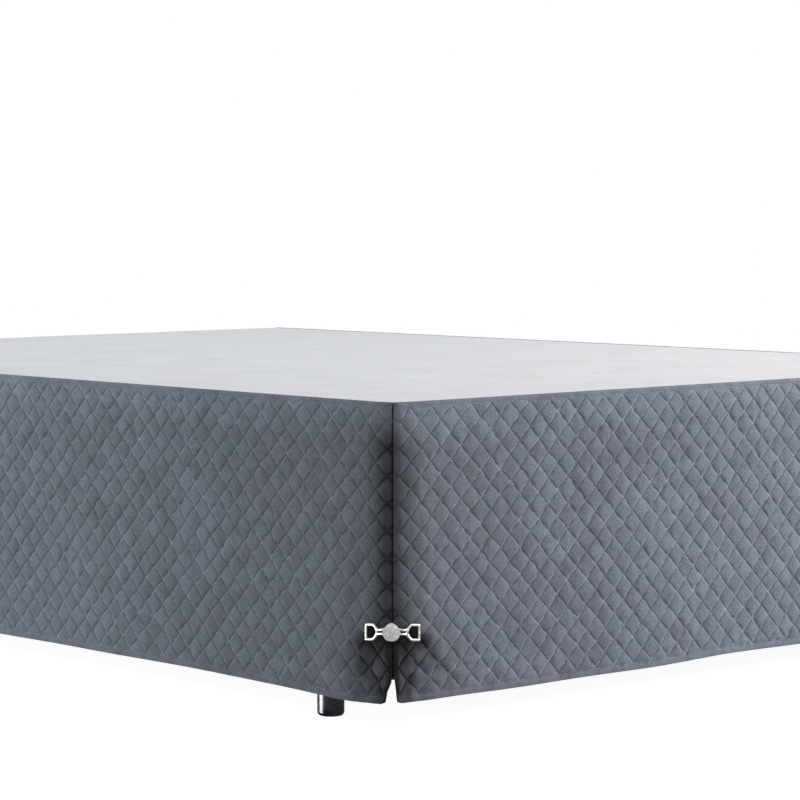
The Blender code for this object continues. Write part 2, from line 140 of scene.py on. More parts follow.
# where the face meets a turned edge it starts this far in, over these runs
FACE_START = 0.0004
FACE_RUNS = {"edge": 0.006, "hem": 0.007, "top": 0.006}
FACE_POWER = 0.6
HEM_SEAM = 0.0095
PRESS_WIDTH = 0.045
PRESS_HEIGHT = 0.017
PRESS = 0.75
EDGE_ROLL = 0.0011
EDGE_ROLL_WIDTH = 0.0024
# puckers along the two sewn edges: height, how close along and up, reach at each edge
PUCKER = 0.0008
PUCKER_CLOSE = (2.3, 0.45)
PUCKER_REACH = (0.008, 0.007)
PUCKER_TOP_SHARE = 0.6
HEM_SEAM_ROW = (HEM_SEAM - HEM_BAND) / ROW_STEP
# rise above the hem edge, lift from the seam plane: the turned hem, then the top edge
HEM_PROFILE = (
    (0.0004, -0.0019),
    (0.0000, -0.0011),
    (0.0005, -0.0002),
    (0.0018, 0.0004),
    (0.0040, 0.0006),
    (0.0062, 0.0005),
    (0.0080, 0.0001),
)
TOP_PROFILE = (
    (DROP - 0.0058, 0.0005),
    (DROP - 0.0040, 0.0007),
    (DROP - 0.0022, 0.0004),
    (DROP - 0.0008, -0.0002),
    (DROP, -0.0012),
)
# the back: the turned hem's strip, then plain cloth up to just under the top edge
BACK_PROFILE = ((0.0016, -0.0031), (0.0140, -0.0031), (0.0152, -0.0026))
BACK_ROWS = 10
BACK_TOP = DROP - 0.0006

# ---- crumpled hollow and its painted shade
CRUMPLE = 0.0019
# painted shade and light that follow the crumpled folds
PAINTED_CRUMPLE_SHADE = 0.72
# size, then how the folds run with column and row, one way and the other
CRUMPLE_FOLDS = ((1.0, (1.1, 0.5), (-0.4, 1.3)), (0.5, (2.6, -0.6), (0.0, 2.4)))
# the hollow's middle and reach from the slit, then how it lies in height
HOLLOWS = {"side": (0.046, 0.036), "foot": (0.026, 0.034)}
HOLLOW_TOP = BUCKLE_HEIGHT + 0.004
HOLLOW_RUN = 0.020
HOLLOW_HEIGHT = 0.060
HOLLOW_SPREAD = 0.027
HOLLOW_LEAST = 0.30
# painted shade in the hollow
PAINTED_HOLLOW_SHADE = 0.63
# creases that run down from the fastener: distance from the slit at their top and
# foot, half width, depth and painted shade
CREASES = {
    "side": ((0.038, 0.050, 0.016, 0.0022, 0.30),),
    "foot": ((0.042, 0.098, 0.014, 0.0022, 0.34), (0.012, 0.020, 0.008, 0.0014, 0.34)),
}
CREASE_TOP = 0.085
CREASE_RUN = 0.060
# height at which a crease has faded and the run over which it fades, above and below
CREASE_ENDS = ((0.094, 0.016), (0.010, 0.020))

# ---- painted shade and light on the pile
# painted light: by the slit the pile starts at this shade, and is brightened this much over the
# reach
PAINTED_SHADE_LEVEL = 0.94
PAINTED_LIGHT_GAINS = {"side": 0.24, "foot": 0.15}
PAINTED_LIGHT_REACH = 0.8
# how deep the painted shade beside the slit is, where it starts to lift, over what
# width, then how deep and how wide the fainter painted shade round it is
PAINTED_SLIT_SHADE = {"side": (0.55, 0.008, 0.045, 0.29, 0.085), "foot": (0.42, 0.012, 0.045, 0.16, 0.060)}
# towards the sewn top both painted shades fade by these shares, and painted light brightens the
# pile a little
SEWN_HEIGHT = 0.340
SEWN_RUN = 0.045
SEWN_FADES = (0.8, 0.7)
PAINTED_TOP_LIGHT = 0.14
# height below which the flaps part, and the run over which they do
PART_TOP = 0.085
PART_RUN = 0.030
# painted shadow round the fastener, then straight below it: middle and reach in height
ROUND_HEIGHT = (0.115, 0.020)
UNDER_HEIGHT = (0.080, 0.015)
# shade and reach from the slit of the painted shadow ring round the fastener
PAINTED_FASTENER_SHADOW = (0.18, 0.050)
# painted shadow: shade, middle and reach from the slit below a loop and below the plate, and the
# most
PAINTED_UNDER_SHADOWS = ((0.80, 0.043, 0.026), (0.496, 0.008, 0.022))
PAINTED_UNDER_MOST = 0.82
# painted shade and reach from the slit of the parted flaps
PAINTED_PART_SHADE = (0.30, 0.019)
# painted shade and reach at the slit's edge, and what both gain where the flaps part
PAINTED_EDGE_SHADE = (0.12, 0.0045)
PAINTED_EDGE_SHADE_GAIN = (0.63, 0.0015)


# ======== helpers
def smooth_step(value):
    value = np.clip(value, 0.0, 1.0)
    return value * value * (3 - 2 * value)


def bell(value):
    return np.exp(-value * value)


def faded(value):
    """What is left of 1 past a share, and nothing beyond it."""
    return np.clip(1 - value, 0, None)


def hashed(first, second, seed):
    """A fixed number from 0 to 1 for each pair of whole numbers. Forms differ by their seed."""
    value = np.sin(first * 127.1 + second * 311.7 + seed * 74.7) * 43758.5453
    return value - np.floor(value)


def uneven(first, second, seed):
    """Smooth noise from -1 to 1 over a plane."""
    low_first, low_second = np.floor(first), np.floor(second)
    across = smooth_step(first - low_first)
    up = smooth_step(second - low_second)
    near = hashed(low_first, low_second, seed) * (1 - across)
    near += hashed(low_first + 1, low_second, seed) * across
    far = hashed(low_first, low_second + 1, seed) * (1 - across)
    far += hashed(low_first + 1, low_second + 1, seed) * across
    return 2 * (near * (1 - up) + far * up) - 1


def slanting(first, second, rows, seed):
    """Layers of that noise, each turned and stretched in its own way."""
    total = 0.0
    for turn, (size, (a, b), (c, d)) in enumerate(rows):
        total = total + size * uneven(first * a + second * b, first * c + second * d, seed + turn)
    return total


def link(obj):
    bpy.context.scene.collection.objects.link(obj)
    return obj


def dress(obj, slot_name, *nodes):
    """Ride on the bed and stand for CAD nodes. The slot name is not used."""
    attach(obj, "root")
    if nodes:
        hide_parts(*nodes)
    return obj


def mesh_object(name, work, material, sharp_degrees=180.0, placing=None):
    bmesh.ops.recalc_face_normals(work, faces=work.faces[:])
    mesh = bpy.data.meshes.new(name)
    work.to_mesh(mesh)
    work.free()
    if placing is not None:
        mesh.transform(placing)
    mesh.materials.append(material)
    mesh.shade_smooth()
    if sharp_degrees < 180:
        mesh.set_sharp_from_angle(angle=math.radians(sharp_degrees))
    return link(bpy.data.objects.new(name, mesh))


def mesh_from(name, points, faces):
    mesh = bpy.data.meshes.new(name)
    mesh.from_pydata(points.tolist(), [], faces)
    return mesh


def work_from(mesh):
    """A working copy of a mesh, which is then removed."""
    work = bmesh.new()
    work.from_mesh(mesh)
    bpy.data.meshes.remove(mesh)
    return work


def add_ring(work, places):
    return [work.verts.new(place) for place in places]


def turns_of(count):
    return [2 * math.pi * step / count for step in range(count)]


def join_rings(work, rings, capped=True):
    """Quads from each ring of vertices to the next, and a face over each end."""
    for lower, upper in zip(rings, rings[1:]):
        for index in range(len(lower)):
            after = (index + 1) % len(lower)
            work.faces.new((lower[index], lower[after], upper[after], upper[index]))
    if capped:
        work.faces.new(rings[0])
        work.faces.new(rings[-1])


# ======== materials
class Nodes:
    """Shader nodes, added one by one to a tree."""

    def __init__(self, tree):
        self.tree = tree

    def add(self, kind, inputs, output=0, **settings):
        node = self.tree.nodes.new("ShaderNode" + kind)
        for setting, value in settings.items():
            setattr(node, setting, value)
        for socket, value in inputs.items():
            self.feed(node.inputs[socket], value)
        return node.outputs[output]

    def feed(self, socket, value):
        if isinstance(value, bpy.types.NodeSocket):
            self.tree.links.new(value, socket)
        else:
            socket.default_value = value

    def end_with(self, surface):
        self.feed(self.tree.nodes["Material Output"].inputs["Surface"], surface)

    def place(self, output="Object"):
        return self.add("TexCoord", {}, output=output)

    def stretched(self, vector, scale):
        return self.add("Mapping", {"Vector": vector, "Scale": scale})

    def parts(self, vector):
        node = self.tree.nodes.new("ShaderNodeSeparateXYZ")
        self.feed(node.inputs[0], vector)
        return node.outputs

    def math(self, operation, first, second=0.0):
        return self.add("Math", {0: first, 1: second}, operation=operation)

    def times(self, first, second):
        return self.math("MULTIPLY", first, second)

    def without(self, value, share):
        """What is left of a value when a share of it is taken away."""
        return self.times(value, self.math("SUBTRACT", 1.0, share))

    def both(self, first, second, share):
        """A share of the first and the rest of the second."""
        return self.math("ADD", self.times(first, share), self.times(second, 1 - share))

    def noise(self, scale, vector, detail=3.0, roughness=0.55):
        inputs = {"Vector": vector, "Scale": scale, "Detail": detail, "Roughness": roughness}
        return self.add("TexNoise", inputs)

    def remap(self, value, low, high, to_low, to_high):
        inputs = {"Value": value, 1: low, 2: high, 3: to_low, 4: to_high}
        return self.add("MapRange", inputs, interpolation_type="SMOOTHSTEP")

    def mix(self, factor, first, second, blend="MIX"):
        inputs = {0: factor, 6: first, 7: second}
        return self.add("Mix", inputs, output=2, data_type="RGBA", blend_type=blend)

    def tones(self, value, low, high, dark, light):
        """From one colour to another as a value goes from low to high."""
        return self.mix(self.remap(value, low, high, 0.0, 1.0), dark, light)

    def bump(self, height, distance, strength, normal=None):
        inputs = {"Height": height, "Distance": distance, "Strength": strength}
        if normal is not None:
            inputs["Normal"] = normal
        return self.add("Bump", inputs)


class Finish(Nodes):
    """One procedural material, built round its Principled shader."""

    def __init__(self, name, **uniform):
        self.material = bpy.data.materials.new(name)
        self.material.use_nodes = True
        super().__init__(self.material.node_tree)
        self.shader = self.tree.nodes["Principled BSDF"]
        self.set(**uniform)

    def set(self, **values):
        for socket, value in values.items():
            self.feed(self.shader.inputs[socket.replace("_", " ")], value)
        return self.material


def grey(value):
    return (value, value, value, 1.0)


QUILT_SIDE = QUILT_PITCH / math.sqrt(2)
STITCH_LENGTH = 0.0031
THREAD_HALF = 0.00050
# a thread's edge fades between these shares of its half width
THREAD_SOFT = (0.4, 1.6)
# shares of a dash where it begins and where it is full, and what is left between dashes
DASH_ENDS = (0.18, 0.42, 0.15)
EDGE_THREADS = 0.6
THREAD_COVER = 0.85
# share of the tone from its clouds, and of the creased surface from its creases
CLOUD_SHARE = 0.36
CREASE_SHARE = 0.55
SUEDE_DARK = (0.108, 0.121, 0.147, 1.0)
SUEDE_LIGHT = (0.190, 0.208, 0.254, 1.0)
THREAD_COLOUR = (0.52, 0.56, 0.62, 1.0)
PAINTED_GLINT_COLOUR = (0.29, 0.33, 0.38, 1.0)
# painted shade also takes out some blue: the power of the painted shade in red, green and blue
PAINTED_SHADE_POWERS = {0: 0.94, 1: 1.0, 2: 1.06}


def stitches(make, off_line, along, seam_side):
    """Short dashes of thread down the middle of a seam, whose unit is this long."""
    inner, outer = (THREAD_HALF / QUILT_SIDE * share for share in THREAD_SOFT)
    line = make.remap(off_line, inner, outer, 1.0, 0.0)
    dash = make.math("FRACT", make.math("DIVIDE", along, STITCH_LENGTH / seam_side))
    dash = make.math("PINGPONG", make.times(dash, 2.0), 1.0)
    return make.times(line, make.remap(dash, *DASH_ENDS, 1.0))


def suede_finish():
    """Brushed slate microfibre: mottled pile, fine fibre, sunk seams and pale stitches, with
    painted shade and glints.
    """
    make = Finish(
        "slate_suede",
        Sheen_Weight=0.22,
        Sheen_Roughness=0.45,
        Sheen_Tint=(0.78, 0.86, 1.0, 1.0),
        Specular_IOR_Level=0.22,
    )
    place = make.place()
    quilt = make.add("Attribute", {}, output="Vector", attribute_name="quilt")
    across, up, _ = make.parts(quilt)
    painted_shade = make.add("Attribute", {}, output="Fac", attribute_name="painted_shade")

    # Places along the two sets of seams, in quilt sides.
    rising = make.times(make.math("SUBTRACT", across, up), 0.5)
    falling = make.times(make.math("ADD", across, up), 0.5)
    from_rising = make.math("PINGPONG", rising, 0.5)
    from_falling = make.math("PINGPONG", falling, 0.5)
    near_seam = make.math("MINIMUM", from_rising, from_falling)
    above_hem = make.remap(up, HEM_SEAM_ROW - 0.01, -0.12, 0.0, 1.0)
    below_top = make.remap(up, HALF_ROWS - 0.01, HALF_ROWS + 0.01, 1.0, 0.0)
    quilted = make.times(above_hem, below_top)

    # Thread in the quilting's seams, then along the hem and the top edge.
    one_way = stitches(make, from_rising, falling, QUILT_SIDE)
    other_way = stitches(make, from_falling, rising, QUILT_SIDE)
    threads = make.times(make.math("MAXIMUM", one_way, other_way), quilted)
    for seam_row in (HEM_SEAM_ROW, float(HALF_ROWS)):
        off_seam = make.math("ABSOLUTE", make.math("SUBTRACT", up, seam_row))
        edge_threads = make.times(stitches(make, off_seam, across, ROW_STEP), EDGE_THREADS)
        threads = make.math("MAXIMUM", threads, edge_threads)

    # Thread shows more in some stretches than in others, as the pile half covers it.
    cover = make.noise(95.0, place)
    threads = make.times(threads, make.remap(cover, 0.44, 0.62, 0.04, 1.0))

    groove = make.times(make.remap(near_seam, 0.0, 0.085, 1.0, 0.0), quilted)
    broad = make.noise(5.5, place, detail=2.0)
    cloud = make.noise(38.0, place, detail=4.0, roughness=0.62)
    grain = make.noise(430.0, place, roughness=0.7)
    fibre = make.noise(1500.0, make.stretched(place, (1.0, 1.0, 0.45)), detail=2.0)
    tone = make.both(cloud, grain, CLOUD_SHARE)
    colour = make.tones(tone, 0.36, 0.64, SUEDE_DARK, SUEDE_LIGHT)
    # Random mottling and fibre times the painted shade from the mesh, and painted shade in the
    # seam grooves, deeper where the painted shade is dark.
    shade = make.times(make.remap(broad, 0.30, 0.70, 0.95, 1.05), painted_shade)
    shade = make.times(shade, make.remap(fibre, 0.30, 0.70, 0.86, 1.14))
    painted_groove_shade = make.times(groove, make.remap(painted_shade, 0.15, 0.95, 0.50, 0.12))
    shade = make.without(shade, painted_groove_shade)

    # Painted shade: in the hollow below the fastener the seams are darkened deep and wide.
    painted_hollow_seam_shade = make.remap(near_seam, 0.02, 0.20, 1.0, 0.0)
    painted_hollow_seam_shade = make.times(painted_hollow_seam_shade, make.remap(painted_shade, 0.20, 0.52, 0.62, 0.0))
    shade = make.without(shade, make.times(painted_hollow_seam_shade, quilted))

    powers = {axis: make.math("POWER", shade, power) for axis, power in PAINTED_SHADE_POWERS.items()}
    painted_shade_tint = make.add("CombineXYZ", powers)
    colour, thread_colour, painted_glint_colour = (
        make.mix(1.0, plain, painted_shade_tint, "MULTIPLY") for plain in (colour, THREAD_COLOUR, PAINTED_GLINT_COLOUR)
    )

    # Painted glints: pale specks where loose fibre ends catch the light.
    painted_glints = make.noise(620.0, place, detail=1.0)
    colour = make.mix(make.remap(painted_glints, 0.70, 0.78, 0.0, 0.5), colour, painted_glint_colour)
    colour = make.mix(make.times(threads, THREAD_COVER), colour, thread_colour)

    creased = make.both(make.noise(150.0, place, detail=2.0), grain, CREASE_SHARE)
    normal = make.bump(creased, 0.0014, 0.60)
    normal = make.bump(fibre, 0.00035, 0.5, normal)
    normal = make.bump(make.times(groove, -1.0), 0.0009, 0.9, normal)
    normal = make.bump(threads, 0.00035, 0.8, normal)
    roughness = make.remap(grain, 0.3, 0.7, 0.82, 0.97)
    return make.set(Base_Color=colour, Roughness=roughness, Normal=normal)


def woven(make, place, pitch, axes):
    """Height of a plain weave: two crossing sets of threads, over and under in turn."""
    parts = make.parts(place)
    first, second = (make.math("SINE", make.times(parts[axis], math.pi / pitch)) for axis in axes)
    return make.remap(make.times(first, second), -0.9, 0.9, 0.0, 1.0)


def deck_finish():
    """Plain off-white cotton with a visible weave and soft unevenness."""
    make = Finish("deck_cotton", Sheen_Weight=0.12, Specular_IOR_Level=0.25)
    place = make.place()
    weave = woven(make, place, 0.0011, (0, 1))
    slubs = make.noise(900.0, make.stretched(place, (0.08, 1.0, 1.0)), detail=2.0)
    tone = make.both(make.noise(9.0, place), slubs, 0.6)
    colour = make.tones(tone, 0.32, 0.68, (0.82, 0.82, 0.83, 1.0), (0.90, 0.90, 0.91, 1.0))
    colour = make.mix(make.remap(weave, 0.0, 1.0, 0.16, 0.0), colour, (0.42, 0.42, 0.41, 1.0))
    normal = make.bump(make.noise(60.0, place), 0.0012, 0.4)
    normal = make.bump(weave, 0.0003, 0.6, normal)
    roughness = make.remap(slubs, 0.3, 0.7, 0.82, 0.95)
    return make.set(Base_Color=colour, Roughness=roughness, Normal=normal)


def base_finish():
    """Near-black upholstery cloth with a coarse weave and a little lint."""
    make = Finish("black_upholstery", Sheen_Weight=0.15, Specular_IOR_Level=0.3)
    place = make.place()
    slanted = make.add("Mapping", {"Vector": place, "Rotation": (0.0, 0.0, math.radians(45))})
    sides, ends = woven(make, place, 0.0016, (0, 2)), woven(make, slanted, 0.0016, (0, 1))
    weave = make.math("MAXIMUM", sides, ends)
    cloud = make.noise(7.0, place)
    lint = make.remap(make.noise(420.0, place, detail=1.0), 0.72, 0.80, 0.0, 0.25)
    dark, light = (0.016, 0.016, 0.018, 1.0), (0.030, 0.030, 0.032, 1.0)
    colour = make.tones(cloud, 0.35, 0.65, dark, light)
    colour = make.mix(make.remap(weave, 0.0, 1.0, 0.45, 0.0), colour, (0.006, 0.006, 0.007, 1.0))
    colour = make.mix(lint, colour, grey(0.16))
    normal = make.bump(make.noise(24.0, place), 0.0025, 0.35)
    normal = make.bump(weave, 0.0005, 0.7, normal)
    roughness = make.remap(cloud, 0.3, 0.7, 0.75, 0.9)
    return make.set(Base_Color=colour, Roughness=roughness, Normal=normal)


def chrome_finish():
    """Dark chrome: smooth, with faint turning marks and a few smudges."""
    make = Finish("dark_chrome", Metallic=1.0)
    place = make.place()
    smudge = make.noise(45.0, place, detail=4.0, roughness=0.6)
    rings = make.noise(900.0, make.stretched(place, (0.02, 0.02, 1.0)), detail=1.0)
    dark, light = (0.016, 0.016, 0.017, 1.0), (0.046, 0.046, 0.048, 1.0)
    colour = make.tones(smudge, 0.35, 0.65, dark, light)
    roughness = make.remap(smudge, 0.35, 0.70, 0.34, 0.46)
    return make.set(Base_Color=colour, Roughness=roughness, Normal=make.bump(rings, 0.00006, 0.5))


def pewter_finish():
    """Satin cast metal with a pebbled skin and darker hollows."""
    make = Finish("satin_pewter", Metallic=1.0)
    place = make.place()
    cloud = make.noise(220.0, place)
    pits = make.noise(1400.0, place, detail=2.0)
    colour = make.tones(cloud, 0.35, 0.65, (0.66, 0.66, 0.64, 1.0), (0.92, 0.91, 0.89, 1.0))
    colour = make.mix(make.remap(pits, 0.24, 0.46, 0.55, 0.0), colour, (0.16, 0.16, 0.155, 1.0))
    roughness = make.remap(cloud, 0.3, 0.7, 0.26, 0.44)
    normal = make.bump(pits, 0.00018, 0.55)
    return make.set(Base_Color=colour, Roughness=roughness, Normal=normal)


def tab_finish():
    """Black webbing with fine ribs."""
    make = Finish("black_webbing", Specular_IOR_Level=0.05)
    place = make.place()
    rib_pitch = 0.0014
    ribs = make.math("SINE", make.times(make.parts(place)[2], 2 * math.pi / rib_pitch))
    fuzz = make.noise(1600.0, place, detail=2.0)
    colour = make.tones(fuzz, 0.3, 0.7, grey(0.004), grey(0.011))
    normal = make.bump(ribs, 0.0002, 0.6)
    normal = make.bump(fuzz, 0.00015, 0.5, normal)
    roughness = make.remap(fuzz, 0.3, 0.7, 0.7, 0.9)
    return make.set(Base_Color=colour, Roughness=roughness, Normal=normal)


# ======== the hanging cloth
def corner_radius(rise):
    """How round the corner is at this height above the hem: the fastener draws it in."""
    return CORNER_RADIUS + CINCH_RADIUS * bell((rise - BUCKLE_HEIGHT) / CINCH_REACH)


def slit_half(name, rise):
    """Half the slit's width, nearly shut above the fastener, and the arch at the hem."""
    opening = FLAP_OPENING * faded(rise / FLAP_TOP) ** FLAP_CURVE
    rounding = FLAP_ROUND * faded(rise / FLAP_ROUND_REACH) ** 2
    share, arch = FLAP_SHARES[KIND[name]]
    arched = arch * smooth_step((ARCH_TOP - rise) / ARCH_RUN)
    return SLIT_HALF + opening * share + rounding, arched


def corner_path(name, distance, rise):
    """Along, out and turn of the cloth at a distance from its slit edge."""
    radius = corner_radius(rise)
    slit, arched = slit_half(name, rise)
    loss = ARC_SHARE * radius + slit - CORNER_LOSS
    reach = distance + slit - loss * smooth_step(distance / CORNER_BLEND)
    reach = reach + arched * faded(distance / ARCH_BLEND) ** ARCH_POWER
    arc = radius * math.pi / 4
    turn = math.pi / 4 * faded(reach / arc)
    along = np.where(reach < arc, radius * (1 - np.sin(turn)), radius + reach - arc)
    return along, -radius * (1 - np.cos(turn)), turn


def creases(name, distance, rise):
    """Depth of the creases that the fastener pulls into the cloth below it, and their painted
    shade.
    """
    depth, shade = 0.0, 1.0
    (top, top_fade), (foot, foot_fade) = CREASE_ENDS
    window = smooth_step((top - rise) / top_fade) * smooth_step((rise - foot) / foot_fade)
    down = np.clip((CREASE_TOP - rise) / CREASE_RUN, 0, 1)
    for start, finish, width, deep, dark in CREASES[KIND[name]]:
        share = window * bell((distance - start - (finish - start) * down) / width)
        depth = depth + deep * share
        shade = shade * (1 - dark * share)
    return depth, shade


def edge_relief(name, distance, rise):
    """How far the cloth near a corner stands out from its path."""
    tuck_across = bell((distance - TUCK_AT) / TUCK_WIDTH)
    out = -TUCK * tuck_across * smooth_step((BUCKLE_HEIGHT - rise) / TUCK_DROP)
    out = out - creases(name, distance, rise)[0]
    if KIND[name] == "side":
        held = 1 - DIP_HELD * bell((rise - BUCKLE_HEIGHT) / CINCH_REACH)
        sewn = smooth_step((DROP - rise) / DIP_FADE)
        out = out - EDGE_DIP * faded(distance / EDGE_DIP_WIDTH) ** 2 * held * sewn
    return out


def waves(along, rows, phase=0.0):
    turn = 2 * np.pi * along
    return sum(size * np.sin(turn / length + start + phase) for length, start, size in rows)


def cloth_points(name, end, distance, rise, lift):
    """Places of a panel's points from their distance to the slit, height and lift."""
    along, out, turn = corner_path(name, distance, rise)
    phase, hem_waves = PANELS[name]
    run = np.where(end < 0, along, 2 * PATH_HALF_X - along)
    free = smooth_step(distance / FOLD_FADE)
    hang = 1 - rise / DROP
    fall = free * faded(rise / DROP) ** FALL_POWER
    stand = edge_relief(name, distance, rise) + lift
    stand = stand + fall * (FALL_OUT + waves(run, FOLDS, phase))
    height = HEM_HEIGHT + rise + free * hang * waves(run, hem_waves)
    droop, droop_at, droop_width = FLAP_DROOPS[KIND[name]]
    droop_across = bell((distance - droop_at) / droop_width)
    height = height - droop * hang ** FLAP_DROOP_POWER * droop_across
    corner, across, up = FLAP_CORNER
    height = height + corner * bell(distance / across) * faded(rise / up) ** 2
    along = along - np.sin(turn) * stand
    out = out + np.cos(turn) * stand
    if KIND[name] == "foot":
        return np.stack([end * (PATH_HALF_X - along), FOOT_Y - out, height], axis=-1)
    side = -1 if name == "panel_left" else 1
    return np.stack([side * (PATH_HALF_X + out), FOOT_Y + along, height], axis=-1)


def panel_span(name):
    """How many half-pitch columns a panel has, and how wide each is."""
    if KIND[name] == "foot":
        width = 2 * (PATH_HALF_X - EDGE_BAND - CORNER_LOSS)
    else:
        width = HEAD_Y - FOOT_Y - CORNER_LOSS - 2 * EDGE_BAND
    count = 2 * round(width / QUILT_PITCH)
    return count, width / count


def measured(name, column):
    """Which end a column is measured from, and its distance from the slit there."""
    count, step = panel_span(name)
    if KIND[name] == "foot":
        end = np.where(column > count / 2, 1, -1)
        place = np.where(end > 0, count - column, column)
    else:
        end = np.full_like(column, -1)
        place = column
    return end, EDGE_BAND + step * place


def pillow(share, lean):
    """A puff's profile from seam to seam, its top leaning to one side."""
    share = share + lean * 4 * share * (1 - share) * PUFF_LEAN
    return np.clip(4 * share * (1 - share), 0, None) ** PUFF_POWER


def diamond(column, row):
    """Each point's diamond, counted along the two sets of seams, and the place in it."""
    falling, rising = (column + row) / 2, (column - row) / 2
    first, second = np.floor(falling + FLOOR_NUDGE), np.floor(rising + FLOOR_NUDGE)
    return first, second, falling - first, rising - second


def quilt_lift(column, row, seed):
    """Share of a puff's height over the seams, each diamond a little different."""
    first, second, falling, rising = diamond(column, row)
    size, lean_first, lean_second = (
        2 * hashed(first, second, seed + turn) - 1 for turn in range(3)
    )
    puff = pillow(falling, lean_first) * pillow(rising, lean_second)
    return (1 + PUFF_SPREAD * size) * puff


def diamond_tone(column, row, seed):
    """The pile lies a little differently on each diamond, so each has a tone of its own."""
    first, second, falling, rising = diamond(column, row)
    share = np.minimum(np.minimum(falling, rising), np.minimum(1 - falling, 1 - rising))
    own = 2 * hashed(first, second, seed + 31) - 1
    return 1 + DIAMOND_TONE * own * smooth_step(share / DIAMOND_BLEND)


def seam_puckers(column, row, seed):
    """Small creases that the stitching draws in across each seam."""
    total = 0.0
    close, lines, slant, reach = PUCKER_RUN
    falling, rising = (column + row) / 2, (column - row) / 2
    for off, along, turn in ((falling, rising, 1), (rising, falling, 2)):
        line = np.round(off)
        crease = uneven(along * close, line * lines + (off - line) * slant, seed + 20 + turn)
        total = total + crease * bell((off - line) / reach)
    return total


def hollow(name, distance, rise):
    """Share by which the cloth is drawn into the crumpled hollow below the fastener."""
    middle, width = HOLLOWS[KIND[name]]
    below = smooth_step((HOLLOW_TOP - rise) / HOLLOW_RUN)
    core = (1 - HOLLOW_LEAST) * bell((rise - HOLLOW_HEIGHT) / HOLLOW_SPREAD)
    return bell((distance - middle) / width) * below * (HOLLOW_LEAST + core)


def crumple(column, row, seed):
    """Small folds pressed into the cloth in that hollow, from about -1.5 to 1.5."""
    return slanting(column, row, CRUMPLE_FOLDS, seed + 11)


def from_edge(distance, run):
    """From 0 at a turned edge to 1 a run away from it."""
    return np.clip(distance / run, 0, 1) ** FACE_POWER


def fine_noise(form, column, row, seed):
    size, close = form
    return size * uneven(column * close, row * close, seed)


def front_lift(name, column, row, rise, profile, seed):
    """Lift of the face: the quilting, or the turned hem and top edge beyond it."""
    count, step = panel_span(name)
    _, near = measured(name, column)
    far = EDGE_BAND + step * (count - column) if KIND[name] == "side" else near
    edge = np.minimum(near, far)
    inside = from_edge(edge - FACE_START, FACE_RUNS["edge"])
    inside = inside * from_edge(rise - HEM_SEAM, FACE_RUNS["hem"])
    inside = inside * from_edge(DROP - TOP_BAND - rise, FACE_RUNS["top"])
    pressed = PRESS * bell(near / PRESS_WIDTH) * bell((rise - BUCKLE_HEIGHT) / PRESS_HEIGHT)
    puffs = PUFF_HEIGHTS[KIND[name]] * quilt_lift(column, row, seed) + PUFF_LEAST
    finer = fine_noise(WRINKLE, column, row, seed)
    finer = finer + SEAM_PUCKER * seam_puckers(column, row, seed)
    finer = finer + CRUMPLE * hollow(name, near, rise) * crumple(column, row, seed)
    quilting = SEAM_SINK + inside * (puffs * (1 - pressed) + finer)
    lift = np.where(np.isnan(profile), quilting, profile)

    # The stitching draws the hem and the top edge into small puckers.
    hem_reach, top_reach = PUCKER_REACH
    seams = bell((rise - HEM_SEAM) / hem_reach)
    seams = seams + PUCKER_TOP_SHARE * bell((rise - DROP + TOP_BAND) / top_reach)
    along, up = PUCKER_CLOSE
    lift = lift + PUCKER * seams * uneven(column * along, row * up, seed + 5)
    return lift - EDGE_ROLL * faded(edge / EDGE_ROLL_WIDTH) ** 2


def painted_slit_shade(name, distance, rise):
    """Painted shade beside the slit, round the fastener and in the creases, and painted light
    away from the slit and towards the top.
    """
    deep, start, across, wide, reach = PAINTED_SLIT_SHADE[KIND[name]]
    sewn = smooth_step((rise - SEWN_HEIGHT) / SEWN_RUN)
    deep_fade, wide_fade = SEWN_FADES
    shade = PAINTED_SHADE_LEVEL + PAINTED_LIGHT_GAINS[KIND[name]] * np.clip(distance / PAINTED_LIGHT_REACH, 0, 1)
    beside = 1 - smooth_step((distance - start) / across)
    shade = shade * (1 - deep * (1 - deep_fade * sewn) * beside)
    shade = shade * (1 - wide * (1 - wide_fade * sewn) * bell(distance / reach))
    shade = shade * (1 + PAINTED_TOP_LIGHT * sewn)

    height, spread = ROUND_HEIGHT
    dark, reach = PAINTED_FASTENER_SHADOW
    shade = shade * (1 - dark * bell(distance / reach) * bell((rise - height) / spread))
    height, spread = UNDER_HEIGHT
    painted_under_shadow = sum(dark * bell((distance - place) / reach) for dark, place, reach in PAINTED_UNDER_SHADOWS)
    shade = shade * (1 - np.minimum(painted_under_shadow, PAINTED_UNDER_MOST) * bell((rise - height) / spread))
    return shade * creases(name, distance, rise)[1]


def painted_shade_and_tone(name, column, row, rise, seed):
    """Painted shade by the slit, at the parted flaps and in the hollow, times each diamond's own
    tone.
    """
    _, distance = measured(name, column)
    shade = painted_slit_shade(name, distance, rise)
    parted = smooth_step((PART_TOP - rise) / PART_RUN)
    dark, reach = PAINTED_PART_SHADE
    shade = shade * (1 - dark * parted * bell(distance / reach))
    dark, reach = (low + gain * parted for low, gain in zip(PAINTED_EDGE_SHADE, PAINTED_EDGE_SHADE_GAIN))
    shade = shade * (1 - dark * bell(distance / reach)) * diamond_tone(column, row, seed)
    gather = hollow(name, distance, rise)
    painted_fold_shade = PAINTED_CRUMPLE_SHADE * gather * crumple(column, row, seed)
    return shade * (1 - PAINTED_HOLLOW_SHADE * gather) * (1 + painted_fold_shade)


